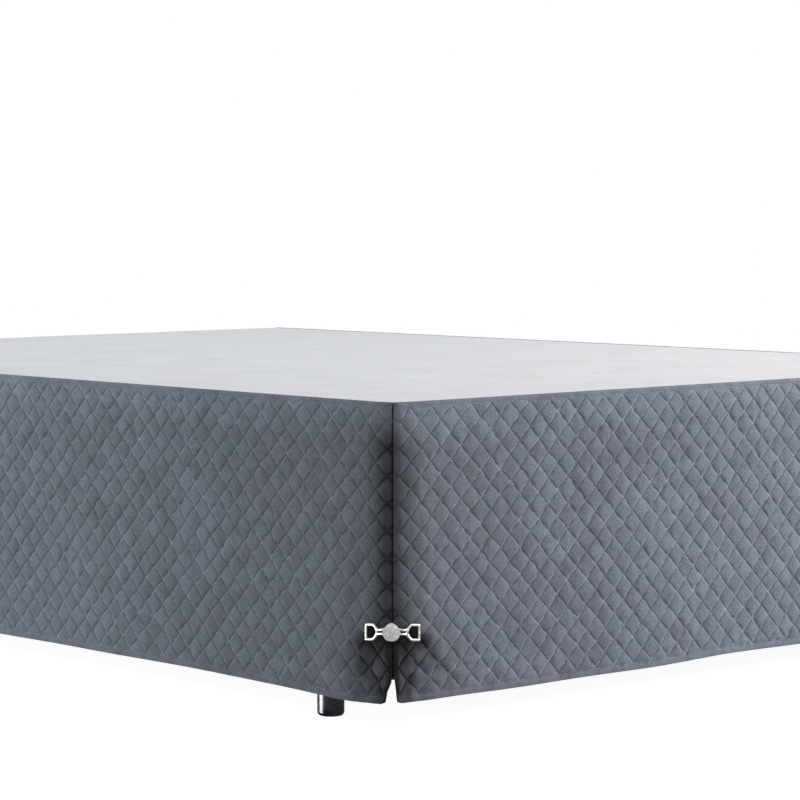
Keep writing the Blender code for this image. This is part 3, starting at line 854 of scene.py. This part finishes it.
def zip_strip(first, second):
    """Triangles between two rows of (place, vertex) pairs, however many each row has."""
    faces = []
    near, far = 0, 0
    while near < len(first) - 1 or far < len(second) - 1:
        step_near = near < len(first) - 1
        if step_near and far < len(second) - 1:
            step_near = first[near + 1][0] <= second[far + 1][0]
        if step_near:
            faces.append((first[near][1], second[far][1], first[near + 1][1]))
            near += 1
        else:
            faces.append((first[near][1], second[far][1], second[far + 1][1]))
            far += 1
    return faces


def split_cells(corner, along_rising):
    """Two triangles for each cell of a grid of vertex numbers, cut along its seam."""
    low, right = corner[:-1, :-1], corner[1:, :-1]
    top, far = corner[:-1, 1:], corner[1:, 1:]
    rising = [np.stack(face, -1)[along_rising] for face in ((low, right, far), (low, far, top))]
    other = ~along_rising
    falling = [np.stack(face, -1)[other] for face in ((low, right, top), (right, far, top))]
    return np.concatenate(rising + falling)


def quilt_row(rise):
    return (rise - HEM_BAND) / ROW_STEP


def panel_rows():
    """Rows of the face: quilt row, height, and the lift of the rows that aren't quilted."""
    rows = [(quilt_row(rise), rise, lift) for rise, lift in HEM_PROFILE]
    rows.append((HEM_SEAM_ROW, HEM_SEAM, np.nan))
    rows.append((HEM_SEAM_ROW / 2, (HEM_SEAM + HEM_BAND) / 2, np.nan))
    for row in np.arange(HALF_ROWS * CELLS + 1) / CELLS:
        rows.append((row, HEM_BAND + ROW_STEP * row, np.nan))
    rows += [(quilt_row(rise), rise, lift) for rise, lift in TOP_PROFILE]
    return np.array(rows).T


def grid_of(columns, rows):
    return np.meshgrid(columns, rows, indexing="ij")


def panel_face(name, seed, columns):
    """Column, row, height and place of the points of a panel's quilted face."""
    count, _ = panel_span(name)
    rows, rises, profile = panel_rows()
    column, row = grid_of(columns, rows)
    rise = np.broadcast_to(rises, column.shape)
    lift = front_lift(name, column, row, rise, np.broadcast_to(profile, column.shape), seed)

    # The seams wander a little, but not where the panel is bound.
    inner = smooth_step(np.minimum(column, count - column) / 2)
    inner = inner * smooth_step(row / 2) * smooth_step((HALF_ROWS - row) / 2)
    sway = fine_noise(SEAM_WANDER, column, row, seed + 7)
    sway = inner * (sway + fine_noise(SEAM_JOG, column, row, seed + 9))
    rock = inner * fine_noise(SEAM_WANDER, column, row, seed + 8)
    end, near = measured(name, column)
    return column, row, rise, cloth_points(name, end, near + sway, rise + rock, lift)


def panel_back(name, columns):
    """Column, row, height and place of the points of a panel's back."""
    plain = np.linspace(BACK_PROFILE[-1][0], BACK_TOP, BACK_ROWS + 1)[1:]
    rises, lifts = np.array(list(BACK_PROFILE) + [(rise, BACK_LIFT) for rise in plain]).T
    column, rise = grid_of(columns, rises)
    lift = np.broadcast_to(lifts, column.shape)
    return column, quilt_row(rise), rise, cloth_points(name, *measured(name, column), rise, lift)


def paired(places, vertices):
    return list(zip(places, vertices))


def panel_faces(face, back):
    """Triangles of the face, the back and the turned edges that join them."""
    columns, rows, rises, _ = face
    back_columns, _, back_rises, _ = back
    index = np.arange(columns.size).reshape(columns.shape)
    back_index = index.size + np.arange(back_columns.size).reshape(back_columns.shape)
    middle_column = (columns[:-1, :-1] + columns[1:, 1:]) / 2
    middle_row = (rows[:-1, :-1] + rows[1:, 1:]) / 2
    rising = (np.floor(middle_column) + np.floor(middle_row)) % 2 == 0
    triangles = split_cells(index, rising).tolist()
    all_rising = np.ones_like(back_index[1:, 1:], bool)
    triangles += split_cells(back_index, all_rising)[:, ::-1].tolist()
    across, back_across = columns[:, 0], back_columns[:, 0]
    up, back_up = np.maximum.accumulate(rises[0]), back_rises[0]
    for at in (0, -1):
        hem_or_top = paired(across, index[:, at]), paired(back_across, back_index[:, at])
        ends = paired(up, index[at]), paired(back_up, back_index[at])
        triangles += zip_strip(*hem_or_top) + zip_strip(*ends)
    return [[int(vertex) for vertex in triangle] for triangle in triangles]


def panel_sheet(name, seed, material):
    """One hanging panel: a finely quilted face, a plain back and turned edges."""
    count, step = panel_span(name)
    edge = EDGE_BAND / step
    fine = np.arange(-2, count * CELLS + 3) / CELLS
    face = panel_face(name, seed, np.concatenate([[-edge], fine, [count + edge]]))
    back = panel_back(name, np.concatenate([[-edge], np.arange(count + 1.0), [count + edge]]))
    points = np.concatenate([points.reshape(-1, 3) for *_, points in (face, back)])
    mesh = mesh_from(name + "_cloth", points, panel_faces(face, back))

    # The material reads each point's column, row and side, and its painted shade and tone.
    quilt, painted_shade = [], []
    for shown, (column, row, rise, _) in ((1.0, face), (0.0, back)):
        quilt.append(np.stack([column, row, np.full_like(column, shown)], -1).reshape(-1, 3))
        painted_shade.append(painted_shade_and_tone(name, column, row, rise, seed).ravel())
    for title, (kind, key, rows) in {
        "quilt": ("FLOAT_VECTOR", "vector", quilt),
        "painted_shade": ("FLOAT", "value", painted_shade),
    }.items():
        values = np.concatenate(rows).astype("f").ravel()
        mesh.attributes.new(title, kind, "POINT").data.foreach_set(key, values)

    cloth = mesh_object(name + "_cloth", work_from(mesh), material)
    dress(cloth, "skirt_cloth", name)
    return cloth


# ======== deck
DECK_CORNER = 0.032
DECK_CELL = 0.010
# a deck point this close to the edge lies on it
ON_EDGE = 1e-6
# how far below the solid's top the cloth, its rim and its underside lie
DECK_SINK = 0.0006
DECK_RIM_SINK = 0.0008
DECK_UNDER_SINK = 0.0016
# creases: height, then how they run with x and y, one way and the other
DECK_CREASES = ((0.0011, (3.1, 1.4), (-0.8, 2.2)), (0.0007, (9, 5), (-3, 3)))
CREASE_FLOOR = -0.0004
CREASE_FADE = 0.05
# creases pulled from the corners: height, reach, how close, and how much they waver
PULLED = (0.0009, 0.22, 46, 3)
# the turned edge: its width, rise and the run of the rise
DECK_SEAM = (0.012, 0.0006, 0.002)
# the line of stitches in it: distance from the edge, depth and reach
DECK_STITCH = (0.0095, 0.0004, 0.0012)


def deck_height(x, y, to_edge):
    """Height of the deck's cloth: laid creases, a turned edge and its line of stitches."""
    inner = smooth_step(to_edge / CREASE_FADE)
    pull, reach, close, waver = PULLED
    tension = np.sin((np.abs(x) - y) * close + waver * uneven(x * 4, y * 4, 5))
    corner_pull = bell(np.hypot(deck_high.x - np.abs(x), y - deck_low.y) / reach)
    ridges = inner * (slanting(x, y, DECK_CREASES, 3) + pull * corner_pull * tension)
    width, rise, run = DECK_SEAM
    seam = rise * smooth_step((width - to_edge) / run)
    place, depth, reach = DECK_STITCH
    stitched = depth * bell((to_edge - place) / reach)
    z = TOP_HEIGHT - DECK_SINK + np.maximum(ridges, CREASE_FLOOR) + seam - stitched
    return np.where(to_edge < ON_EDGE, TOP_HEIGHT - DECK_RIM_SINK, z)


def deck_piece(material):
    """The plain cloth over the base, laid with soft creases and a turned seam at its edge."""
    half_x, foot_y, head_y = deck_high.x, deck_low.y, deck_high.y
    columns = round(2 * half_x / DECK_CELL)
    rows = round((head_y - foot_y) / DECK_CELL)
    across = np.linspace(-half_x, half_x, columns + 1)
    along = np.linspace(foot_y, head_y, rows + 1)
    x, y = grid_of(across, along)

    # The two foot corners are rounded by sliding the outer points in.
    in_x = np.clip(DECK_CORNER - (half_x - np.abs(x)), 0, None)
    in_y = np.clip(DECK_CORNER - (y - foot_y), 0, None)
    reach = np.hypot(in_x, in_y)
    pull = np.where(reach > 0, np.maximum(in_x, in_y) / np.maximum(reach, 1e-9), 1.0)
    x = np.sign(x) * (np.abs(x) - in_x * (1 - pull))
    y = y + in_y * (1 - pull)

    z = deck_height(x, y, np.minimum(half_x - np.abs(x), y - foot_y))
    top = np.stack([x, y, z], -1).reshape(-1, 3)
    bottom = np.stack([x, y, np.full_like(z, TOP_HEIGHT - DECK_UNDER_SINK)], -1).reshape(-1, 3)
    index = np.arange(x.size).reshape(x.shape)
    quads = np.stack([index[:-1, :-1], index[1:, :-1], index[1:, 1:], index[:-1, 1:]], -1)
    quads = quads.reshape(-1, 4)
    rim = np.concatenate([index[:, 0], index[-1, 1:], index[-2::-1, -1], index[0, -2:0:-1]])
    after = np.roll(rim, -1)
    sides = np.stack([rim, rim + x.size, after + x.size, after], -1)
    faces = quads.tolist() + (quads[:, ::-1] + x.size).tolist() + sides.tolist()
    mesh = mesh_from("deck_cloth", np.concatenate([top, bottom]), faces)
    deck = mesh_object("deck_cloth", work_from(mesh), material, sharp_degrees=50)
    dress(deck, "deck_cloth", "deck")
    return deck


# ======== base and feet
BASE_CORNER = 0.040
BASE_EDGE = 0.010
EDGE_STEPS = 4
CORNER_STEPS = 8
BASE_STEP = 0.020
BASE_ROWS = 15
# the cloth lies this far inside the solid, swells to here and has a seam low down
BASE_SINK = 0.0006
BASE_SWELL = 0.0016
SWELL_MOST = 0.0022
BASE_UNEVEN = (0.0010, 0.21, 18.0)
# height over the base's underside, depth and reach
BASE_SEAM = (0.030, 0.0012, 0.004)


def rounded_outline(half_x, low_y, high_y, radius, step):
    """Points and outward normals round a rectangle in plan with rounded corners."""
    inner_x, low_y, high_y = half_x - radius, low_y + radius, high_y - radius
    corners = ((inner_x, low_y), (inner_x, high_y), (-inner_x, high_y), (-inner_x, low_y))
    points = []
    for index, corner in enumerate(corners):
        centre = Vector(corner)
        for share in range(CORNER_STEPS + 1):
            angle = math.radians(90 * (index - 1) + 90 * share / CORNER_STEPS)
            normal = Vector((math.cos(angle), math.sin(angle)))
            points.append((centre + normal * radius, normal))
        begin = centre + normal * radius
        finish = Vector(corners[(index + 1) % 4]) + normal * radius
        cells = round((finish - begin).length / step)
        for cell in range(1, cells):
            points.append((begin.lerp(finish, cell / cells), normal))
    return points


def base_profile(low, top):
    """Height and inset of the rows up the base's side, rounded at both ends."""
    bends = [math.pi / 2 * step / EDGE_STEPS for step in range(EDGE_STEPS + 1)]
    rows = [
        (low + BASE_EDGE * (1 - math.cos(bend)), BASE_EDGE * (1 - math.sin(bend)))
        for bend in bends
    ]
    straight = top - low - 2 * BASE_EDGE
    for row in range(1, BASE_ROWS):
        rows.append((low + BASE_EDGE + straight * row / BASE_ROWS, 0.0))
    for bend in bends:
        rows.append((top - BASE_EDGE * (1 - math.sin(bend)), BASE_EDGE * (1 - math.cos(bend))))
    return rows


def base_piece(material):
    """The upholstered box: slightly swollen cloth sides, soft edges and a seam low down."""
    low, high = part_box("base")
    top = TOP_HEIGHT - DECK_UNDER_SINK - SEAT_GAP
    outline = rounded_outline(high.x, low.y, high.y, BASE_CORNER, BASE_STEP)
    rough, along, up = BASE_UNEVEN
    seam_height, seam_depth, seam_reach = BASE_SEAM
    work = bmesh.new()
    rings = []
    for height, inset in base_profile(low.z, top):
        seam = seam_depth * float(bell((height - low.z - seam_height) / seam_reach))
        full = BASE_SWELL * math.sin(math.pi * (height - low.z) / (top - low.z))
        places = []
        for index, (point, normal) in enumerate(outline):
            waver = rough * float(uneven(index * along, height * up, 6)) * (inset == 0.0)
            place = point + normal * (min(full + waver - seam, SWELL_MOST) - inset - BASE_SINK)
            places.append((place.x, place.y, height))
        rings.append(add_ring(work, places))
    join_rings(work, rings)
    base = mesh_object("box_base", work, material, sharp_degrees=60)
    return dress(base, "base_cloth", "base")


FOOT_SIDES = 48
# share of the foot's radius, height: the face it stands on, the rounded edge and the stem
FOOT_PROFILE = (
    (0.50, 0.0008),
    (0.56, 0.0),
    (0.74, 0.0),
    (0.84, 0.0005),
    (0.92, 0.0017),
    (0.975, 0.0035),
    (1.0, 0.0060),
    (1.0, 0.0640),
    (0.985, 0.0652),
    (0.985, 0.0664),
    (1.0, 0.0676),
)


def foot_piece(node, material):
    """A turned foot with a rounded lower edge and a fine groove under its fixing plate."""
    low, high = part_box(node)
    centre = (low + high) / 2
    radius = (high.x - low.x) / 2
    work = bmesh.new()
    rings = []
    for share, height in FOOT_PROFILE + ((1.0, high.z),):
        reach = radius * share
        places = [
            (centre.x + reach * math.cos(turn), centre.y + reach * math.sin(turn), height)
            for turn in turns_of(FOOT_SIDES)
        ]
        rings.append(add_ring(work, places))
    join_rings(work, rings)
    foot = mesh_object(node + "_turned", work, material, sharp_degrees=40)
    return dress(foot, "foot_metal", node)


# ======== corner fasteners
WIRE_RADIUS = 0.0020
WIRE_SIDES = 14
RUN_PIECES = 2
TUBE_SIDES = 12
PLATE_HALF_LENGTH = 0.0120
# half height, how far the outline runs level before it falls, and how full it is
PLATE_UPPER = (0.0120, 1.6, 0.85)
PLATE_LOWER = (0.0128, 3.0, 0.60)
PLATE_CROWN = 0.0026
PLATE_RIM = 0.0011
PLATE_STEPS = 72
# share of the outline, height of the face there: the raised rim, then the crown
PLATE_LEVELS = (
    (0.985, 0.0),
    (1.0, PLATE_RIM * 0.45),
    (0.985, PLATE_RIM * 0.9),
    (0.95, PLATE_RIM * 1.15),
    (0.915, PLATE_RIM * 1.05),
    (0.88, PLATE_RIM * 1.15),
    (0.78, PLATE_CROWN * 0.72),
    (0.60, PLATE_CROWN * 0.88),
    (0.38, PLATE_CROWN * 0.97),
    (0.16, PLATE_CROWN),
)
NECK_START = PLATE_HALF_LENGTH * 0.66
NECK_END = 0.0252
NECK_STEPS = 8
NECK_RADIUS = 0.00175
NECK_APART = 0.0027
# towards its ends a neck spreads by this much and swells by this share
NECK_SPREAD = 0.0009
NECK_SWELL = 0.08
LOOP_START = 0.0231
LOOP_NECK_HALF = 0.0040
LOOP_NECK_ROUND = 0.8
LOOP_SHOULDER = 0.0305
LOOP_SHOULDER_ROUND = 0.0010
# shares of the way from neck to shoulder where the outline has a point
LOOP_SLOPE = (0.08, 0.5, 0.86)
LOOP_END = 0.0442
LOOP_HALF_HEIGHT = 0.0099
LOOP_CORNER = 0.0026
LOOP_CORNER_LEAST = 0.0006
LOOP_CORNER_STEPS = 6
# shares of a shrink by which the neck bar shortens and the shoulder moves
SHRINK_NECK = 0.5
SHRINK_SHOULDER = 0.33
BEND_AT = 0.0125
BEND_ANGLE = math.radians(45)
BUCKLE_OUT = 0.0049
# the wings droop from the plate, and the fastener has slid left, seen from outside
PLATE_RAISE = 0.0020
WING_DROOP = 0.115
DROOP_START = 0.010
FASTENER_SLIDE = 0.0016
TAB_BACK = -0.0026
TAB_FRONT = 0.0004
# share of the outline, height
TAB_LEVELS = (
    (0.94, TAB_BACK),
    (0.99, TAB_BACK + 0.0004),
    (1.0, TAB_BACK + 0.0010),
    (1.0, TAB_FRONT - 0.0008),
    (0.97, TAB_FRONT - 0.0002),
    (0.88, TAB_FRONT + 0.0002),
    (0.60, TAB_FRONT + 0.0006),
    (0.25, TAB_FRONT + 0.0008),
)
# the ticks on a loop's outer bar: height, how far each reaches out, and how it slants
TICK_START = LOOP_END - 0.0010
TICKS = (
    (LOOP_HALF_HEIGHT - 0.0003, 0.0018, 0.0008),
    (0.0, 0.0012, 0.0),
    (0.0003 - LOOP_HALF_HEIGHT, 0.0018, -0.0004),
)
# distance along a tick, its radius there
TICK_STEPS = ((0, 0.00215), (0.6, 0.00215), (1.2, 0.00215 * 0.8), (1.6, 0.00215 * 0.35))


def bent(point):
    """Bend the fastener's two wings back round the corner, drooping a little."""
    across, up, out = point
    up += PLATE_RAISE - WING_DROOP * max(abs(across) - DROOP_START, 0)
    across -= FASTENER_SLIDE
    past = abs(across) - BEND_AT
    if past <= 0:
        return Vector((across, up, out))
    side = math.copysign(1.0, across)
    turned_across = BEND_AT + past * math.cos(BEND_ANGLE) + out * math.sin(BEND_ANGLE)
    turned_out = out * math.cos(BEND_ANGLE) - past * math.sin(BEND_ANGLE)
    return Vector((side * turned_across, up, turned_out))


def buckle_frame(side):
    """Across, up and out of the fastener at a foot corner, as a placing matrix."""
    out = Vector((side, -1, 0)).normalized()
    up = Vector((0, 0, 1))
    across = up.cross(out)
    placing = Matrix((across, up, out)).transposed().to_4x4()
    inward = (math.sqrt(2) - 1) * float(corner_radius(BUCKLE_HEIGHT)) - BUCKLE_OUT
    corner = Vector((side * PATH_HALF_X, FOOT_Y, HEM_HEIGHT + BUCKLE_HEIGHT))
    placing.translation = corner - out * inward
    return placing


def loop_outline(side, shrink=0.0):
    """The run of a loop: a bar at the neck, shoulders that spread, and an outer bar."""
    start = LOOP_START + shrink
    neck_half = LOOP_NECK_HALF - shrink * SHRINK_NECK
    shoulder = LOOP_SHOULDER + shrink * SHRINK_SHOULDER
    end = LOOP_END - shrink
    half = LOOP_HALF_HEIGHT - shrink
    corner = max(LOOP_CORNER - shrink, LOOP_CORNER_LEAST)
    upper = [(start, neck_half * LOOP_NECK_ROUND)]
    for share in LOOP_SLOPE:
        across = start + (shoulder - start) * share
        upper.append((across, neck_half + (half - neck_half) * share))
    upper.append((shoulder + LOOP_SHOULDER_ROUND, half))
    upper.append(((shoulder + end - corner) / 2, half))
    for index in range(LOOP_CORNER_STEPS + 1):
        angle = math.radians(90 - 90 * index / LOOP_CORNER_STEPS)
        across = end - corner + corner * math.cos(angle)
        upper.append((across, half - corner + corner * math.sin(angle)))
    lower = [(across, -up) for across, up in reversed(upper)]
    points = [(start, 0.0)] + upper + [(end, 0.0)] + lower
    if side < 0:
        return [(-across, up) for across, up in reversed(points)]
    return points


def add_tube(work, path, radii, sides=TUBE_SIDES, closed=False):
    """Sweep a round wire along a flat path of across and up, and bend it with the wings."""
    rings = []
    count = len(path)
    for index, (point, radius) in enumerate(zip(path, radii)):
        before = Vector(path[index - 1] if closed or index else path[0])
        after = Vector(path[(index + 1) % count] if closed else path[min(index + 1, count - 1)])
        run = (after - before).normalized()
        sideways = Vector((run.y, -run.x))
        places = []
        for turn in turns_of(sides):
            centre = Vector(point) + sideways * (radius * math.cos(turn))
            places.append(bent((centre.x, centre.y, radius * math.sin(turn))))
        rings.append(add_ring(work, places))
    join_rings(work, rings + rings[:1] if closed else rings, capped=not closed)


def add_plate(work):
    """The crowned plate: blunt peak above, round below, with a fine raised rim."""
    outline = []
    for index in range(PLATE_STEPS):
        angle = 2 * math.pi * (index + 0.5) / PLATE_STEPS
        share = math.cos(angle)
        height, level, fullness = PLATE_UPPER if math.sin(angle) > 0 else PLATE_LOWER
        up = math.copysign(height * (1 - abs(share) ** level) ** fullness, math.sin(angle))
        outline.append((share * PLATE_HALF_LENGTH, up))

    def ring_of(share, height):
        return add_ring(work, [bent((x * share, y * share, height)) for x, y in outline])

    middle = ring_of(*PLATE_LEVELS[0])
    for side in (-1, 1):
        rings = [middle] + [ring_of(share, side * crown) for share, crown in PLATE_LEVELS[1:]]
        join_rings(work, rings, capped=False)
        work.faces.new(rings[-1])


def rounded_run(points):
    """A smooth closed run through an outline's points."""
    run = []
    count = len(points)
    for index in range(count):
        before, here, after, beyond = (Vector(points[(index + k) % count]) for k in (-1, 0, 1, 2))
        for step in range(RUN_PIECES):
            t = step / RUN_PIECES
            part = 2 * here + (after - before) * t
            part += (2 * before - 5 * here + 4 * after - beyond) * t * t
            part += (3 * here - before - 3 * after + beyond) * t ** 3
            run.append(part / 2)
    return run


def add_neck(work, wing, strand):
    """One of the two curved strands that join a loop to the plate."""
    path, radii = [], []
    for index in range(NECK_STEPS + 1):
        share = index / NECK_STEPS
        flare = (2 * share - 1) ** 2
        across = NECK_START + (NECK_END - NECK_START) * share
        path.append((wing * across, strand * (NECK_APART + NECK_SPREAD * flare)))
        radii.append(NECK_RADIUS * (1 + NECK_SWELL * flare))
    add_tube(work, path, radii)


def buckle_piece(corner, side, material):
    """Plate, double necks, D loops and the small ticks on their outer bars."""
    work = bmesh.new()
    add_plate(work)
    for wing in (-1, 1):
        loop = rounded_run(loop_outline(wing))
        add_tube(work, loop, [WIRE_RADIUS] * len(loop), sides=WIRE_SIDES, closed=True)
        for strand in (-1, 1):
            add_neck(work, wing, strand)
        for height, reach, slant in TICKS:
            path = [(wing * (TICK_START + reach * k), height + slant * k) for k, _ in TICK_STEPS]
            add_tube(work, path, [radius for _, radius in TICK_STEPS])
    name = f"buckle_{corner}_cast"
    buckle = mesh_object(name, work, material, sharp_degrees=45, placing=buckle_frame(side))
    return dress(buckle, "buckle_metal", f"buckle_{corner}")


def tab_piece(corner, side, edge, wing, material):
    """A black webbing tab in a loop's eye, softly domed, that reaches the cloth behind."""
    outline = rounded_run(loop_outline(wing, WIRE_RADIUS + SEAT_GAP))
    centre = sum(outline, Vector((0.0, 0.0))) / len(outline)
    work = bmesh.new()
    rings = []
    for share, height in TAB_LEVELS:
        places = [centre + (point - centre) * share for point in outline]
        rings.append(add_ring(work, [bent((place.x, place.y, height)) for place in places]))
    join_rings(work, rings)
    name = f"tab_{corner}_{edge}_webbing"
    tab = mesh_object(name, work, material, sharp_degrees=50, placing=buckle_frame(side))
    return dress(tab, "tab_cloth", f"tab_{corner}_{edge}")


# ======== camera, light and stage
CAMERA_REACH = 4.0088
CAMERA_BEARING = math.radians(42.26)
CAMERA_RISE = 0.669
CAMERA_YAW = math.radians(42.403)
CAMERA_PITCH = math.radians(-3.787)
CAMERA_LENS = 137.9
CAMERA_SENSOR = 36.0
CAMERA_FAR = 200.0
# place, aim, diameter, power and colour of each light
LIGHTS = {
    "key_right": ((2.3, -2.4, 1.0), (0.0, -0.94, 0.22), 1.0, 84.0, (1.0, 0.99, 0.98)),
    "key_left": ((-2.3, 3.2, 0.60), (-0.7, -0.1, 0.22), 1.0, 61.0, (0.94, 1.0, 0.93)),
    "low_strip": ((-1.85, 0.35, -0.25), (-0.62, -0.80, 0.03), 0.8, 30.0, (1.0, 1.0, 1.0)),
    "foot_strip": ((-1.85, 0.30, -0.20), (-0.62, -0.80, 0.03), 0.9, 170.0, (1.0, 1.0, 1.0)),
}
FLOOR_RADIUS = 7.0
FLOOR_FADE = (FLOOR_RADIUS * 0.25, FLOOR_RADIUS * 0.8)
FLOOR_HEIGHT = -0.0002
FLOOR_GLOW = 0.92
SKY_COLOUR = (0.95, 0.975, 1.0, 1.0)
# direction and share by which the sky brightens to one side
SKY_SIDE = (-0.04, -0.28, 0.0)
# from this height to that, the sky goes from this strength to that
SKY_RISE = (-0.25, 0.60, 0.45, 0.72)
DOME_RADIUS = 40.0


def place_camera():
    corner = Vector((-PATH_HALF_X, FOOT_Y, HEM_HEIGHT))
    data = bpy.data.cameras.new("photo_camera")
    data.sensor_width = CAMERA_SENSOR
    data.lens = CAMERA_LENS
    data.clip_end = CAMERA_FAR
    camera = link(bpy.data.objects.new("photo_camera", data))
    away = Vector((-math.sin(CAMERA_BEARING), -math.cos(CAMERA_BEARING), 0.0))
    camera.location = corner + away * CAMERA_REACH + Vector((0, 0, CAMERA_RISE))
    level = math.cos(CAMERA_PITCH)
    forward = Vector(
        (math.sin(CAMERA_YAW) * level, math.cos(CAMERA_YAW) * level, math.sin(CAMERA_PITCH))
    )
    camera.rotation_euler = forward.to_track_quat("-Z", "Y").to_euler()
    bpy.context.scene.camera = camera


def soft_light(name, place, target, size, power, colour):
    data = bpy.data.lights.new(name, "AREA")
    data.shape = "DISK"
    data.size = size
    data.energy = power
    data.color = colour
    light = link(bpy.data.objects.new(name, data))
    light.location = place
    towards = Vector(target) - Vector(place)
    light.rotation_euler = towards.to_track_quat("-Z", "Y").to_euler()
    light.visible_camera = False
    return light


def light_the_stage(feet):
    lights = {name: soft_light(name, *row) for name, row in LIGHTS.items()}
    # Low glows that only metal mirrors: a faint one, then one that edges the feet alone.
    for name in ("low_strip", "foot_strip"):
        lights[name].visible_diffuse = False
    linking = lights["foot_strip"].light_linking
    linking.receiver_collection = bpy.data.collections.new("lit_feet")
    for foot in feet:
        linking.receiver_collection.objects.link(foot)
    scene = bpy.context.scene
    scene.view_settings.view_transform = "Standard"
    scene.world = bpy.data.worlds.new("studio")
    scene.world.use_nodes = True

    # A pale sky that is brighter above, and brighter on the foot's side of the bed.
    sky = Nodes(scene.world.node_tree)
    place = sky.place("Generated")
    rise = dict(zip((1, 2, 3, 4), SKY_RISE))
    height = sky.add("MapRange", {"Value": sky.parts(place)[2], **rise})
    side = sky.add("VectorMath", {0: place, 1: SKY_SIDE}, output="Value", operation="DOT_PRODUCT")
    ground = sky.tree.nodes["Background"]
    sky.feed(ground.inputs["Strength"], sky.times(sky.math("ADD", side, 1.0), height))
    sky.feed(ground.inputs["Color"], SKY_COLOUR)


def build_stage():
    """A pale floor that fades into a plain white surround."""
    make = Finish("pale_floor", Specular_IOR_Level=0.1)
    place = make.place()
    speck = make.noise(3.0, place, detail=2.0)
    colour = make.tones(speck, 0.3, 0.7, grey(0.86), grey(0.88))
    make.set(Base_Color=colour, Roughness=make.remap(speck, 0.3, 0.7, 0.8, 0.9))
    make.set(Emission_Color=grey(1.0), Emission_Strength=FLOOR_GLOW)
    distance = make.add("VectorMath", {0: place}, output="Value", operation="LENGTH")
    fade_start, fade_end = FLOOR_FADE
    fade = make.remap(distance, fade_start, fade_end, 0.0, 1.0)
    clear = make.add("BsdfTransparent", {})
    make.end_with(make.add("MixShader", {0: fade, 1: make.shader.outputs[0], 2: clear}))
    work = bmesh.new()
    bmesh.ops.create_circle(work, cap_ends=True, segments=96, radius=FLOOR_RADIUS)
    floor = mesh_object("floor", work, make.material)
    floor.location.z = FLOOR_HEIGHT

    white = bpy.data.materials.new("white_surround")
    white.use_nodes = True
    glow = Nodes(white.node_tree)
    glow.end_with(glow.add("Emission", {"Color": grey(1.0), "Strength": 1.0}))
    work = bmesh.new()
    bmesh.ops.create_uvsphere(work, u_segments=48, v_segments=24, radius=DOME_RADIUS)
    dome = mesh_object("surround", work, white)
    dome.visible_shadow = False
    # The camera alone sees the stage, so that it lends the piece no colour or light.
    for piece in (floor, dome):
        for ray in ("diffuse", "glossy", "transmission", "volume_scatter"):
            setattr(piece, "visible_" + ray, False)


# ======== assembly
FIRST_SEED = 11.0
SEED_STEP = 13


def main():
    suede = suede_finish()
    for index, name in enumerate(PANELS):
        panel_sheet(name, FIRST_SEED + SEED_STEP * index, suede)
    base_piece(base_finish())
    deck_piece(deck_finish())
    chrome = chrome_finish()
    ends = [(end, side) for end in ("front", "back") for side in ("left", "right")]
    feet = [foot_piece(f"foot_{end}_{side}", chrome) for end, side in ends]
    pewter, webbing = pewter_finish(), tab_finish()
    for corner, side in (("left", -1), ("right", 1)):
        buckle_piece(corner, side, pewter)
        for edge, wing in (("a", -1), ("b", 1)):
            tab_piece(corner, side, edge, wing, webbing)
    place_camera()
    light_the_stage(feet)
    build_stage()


main()
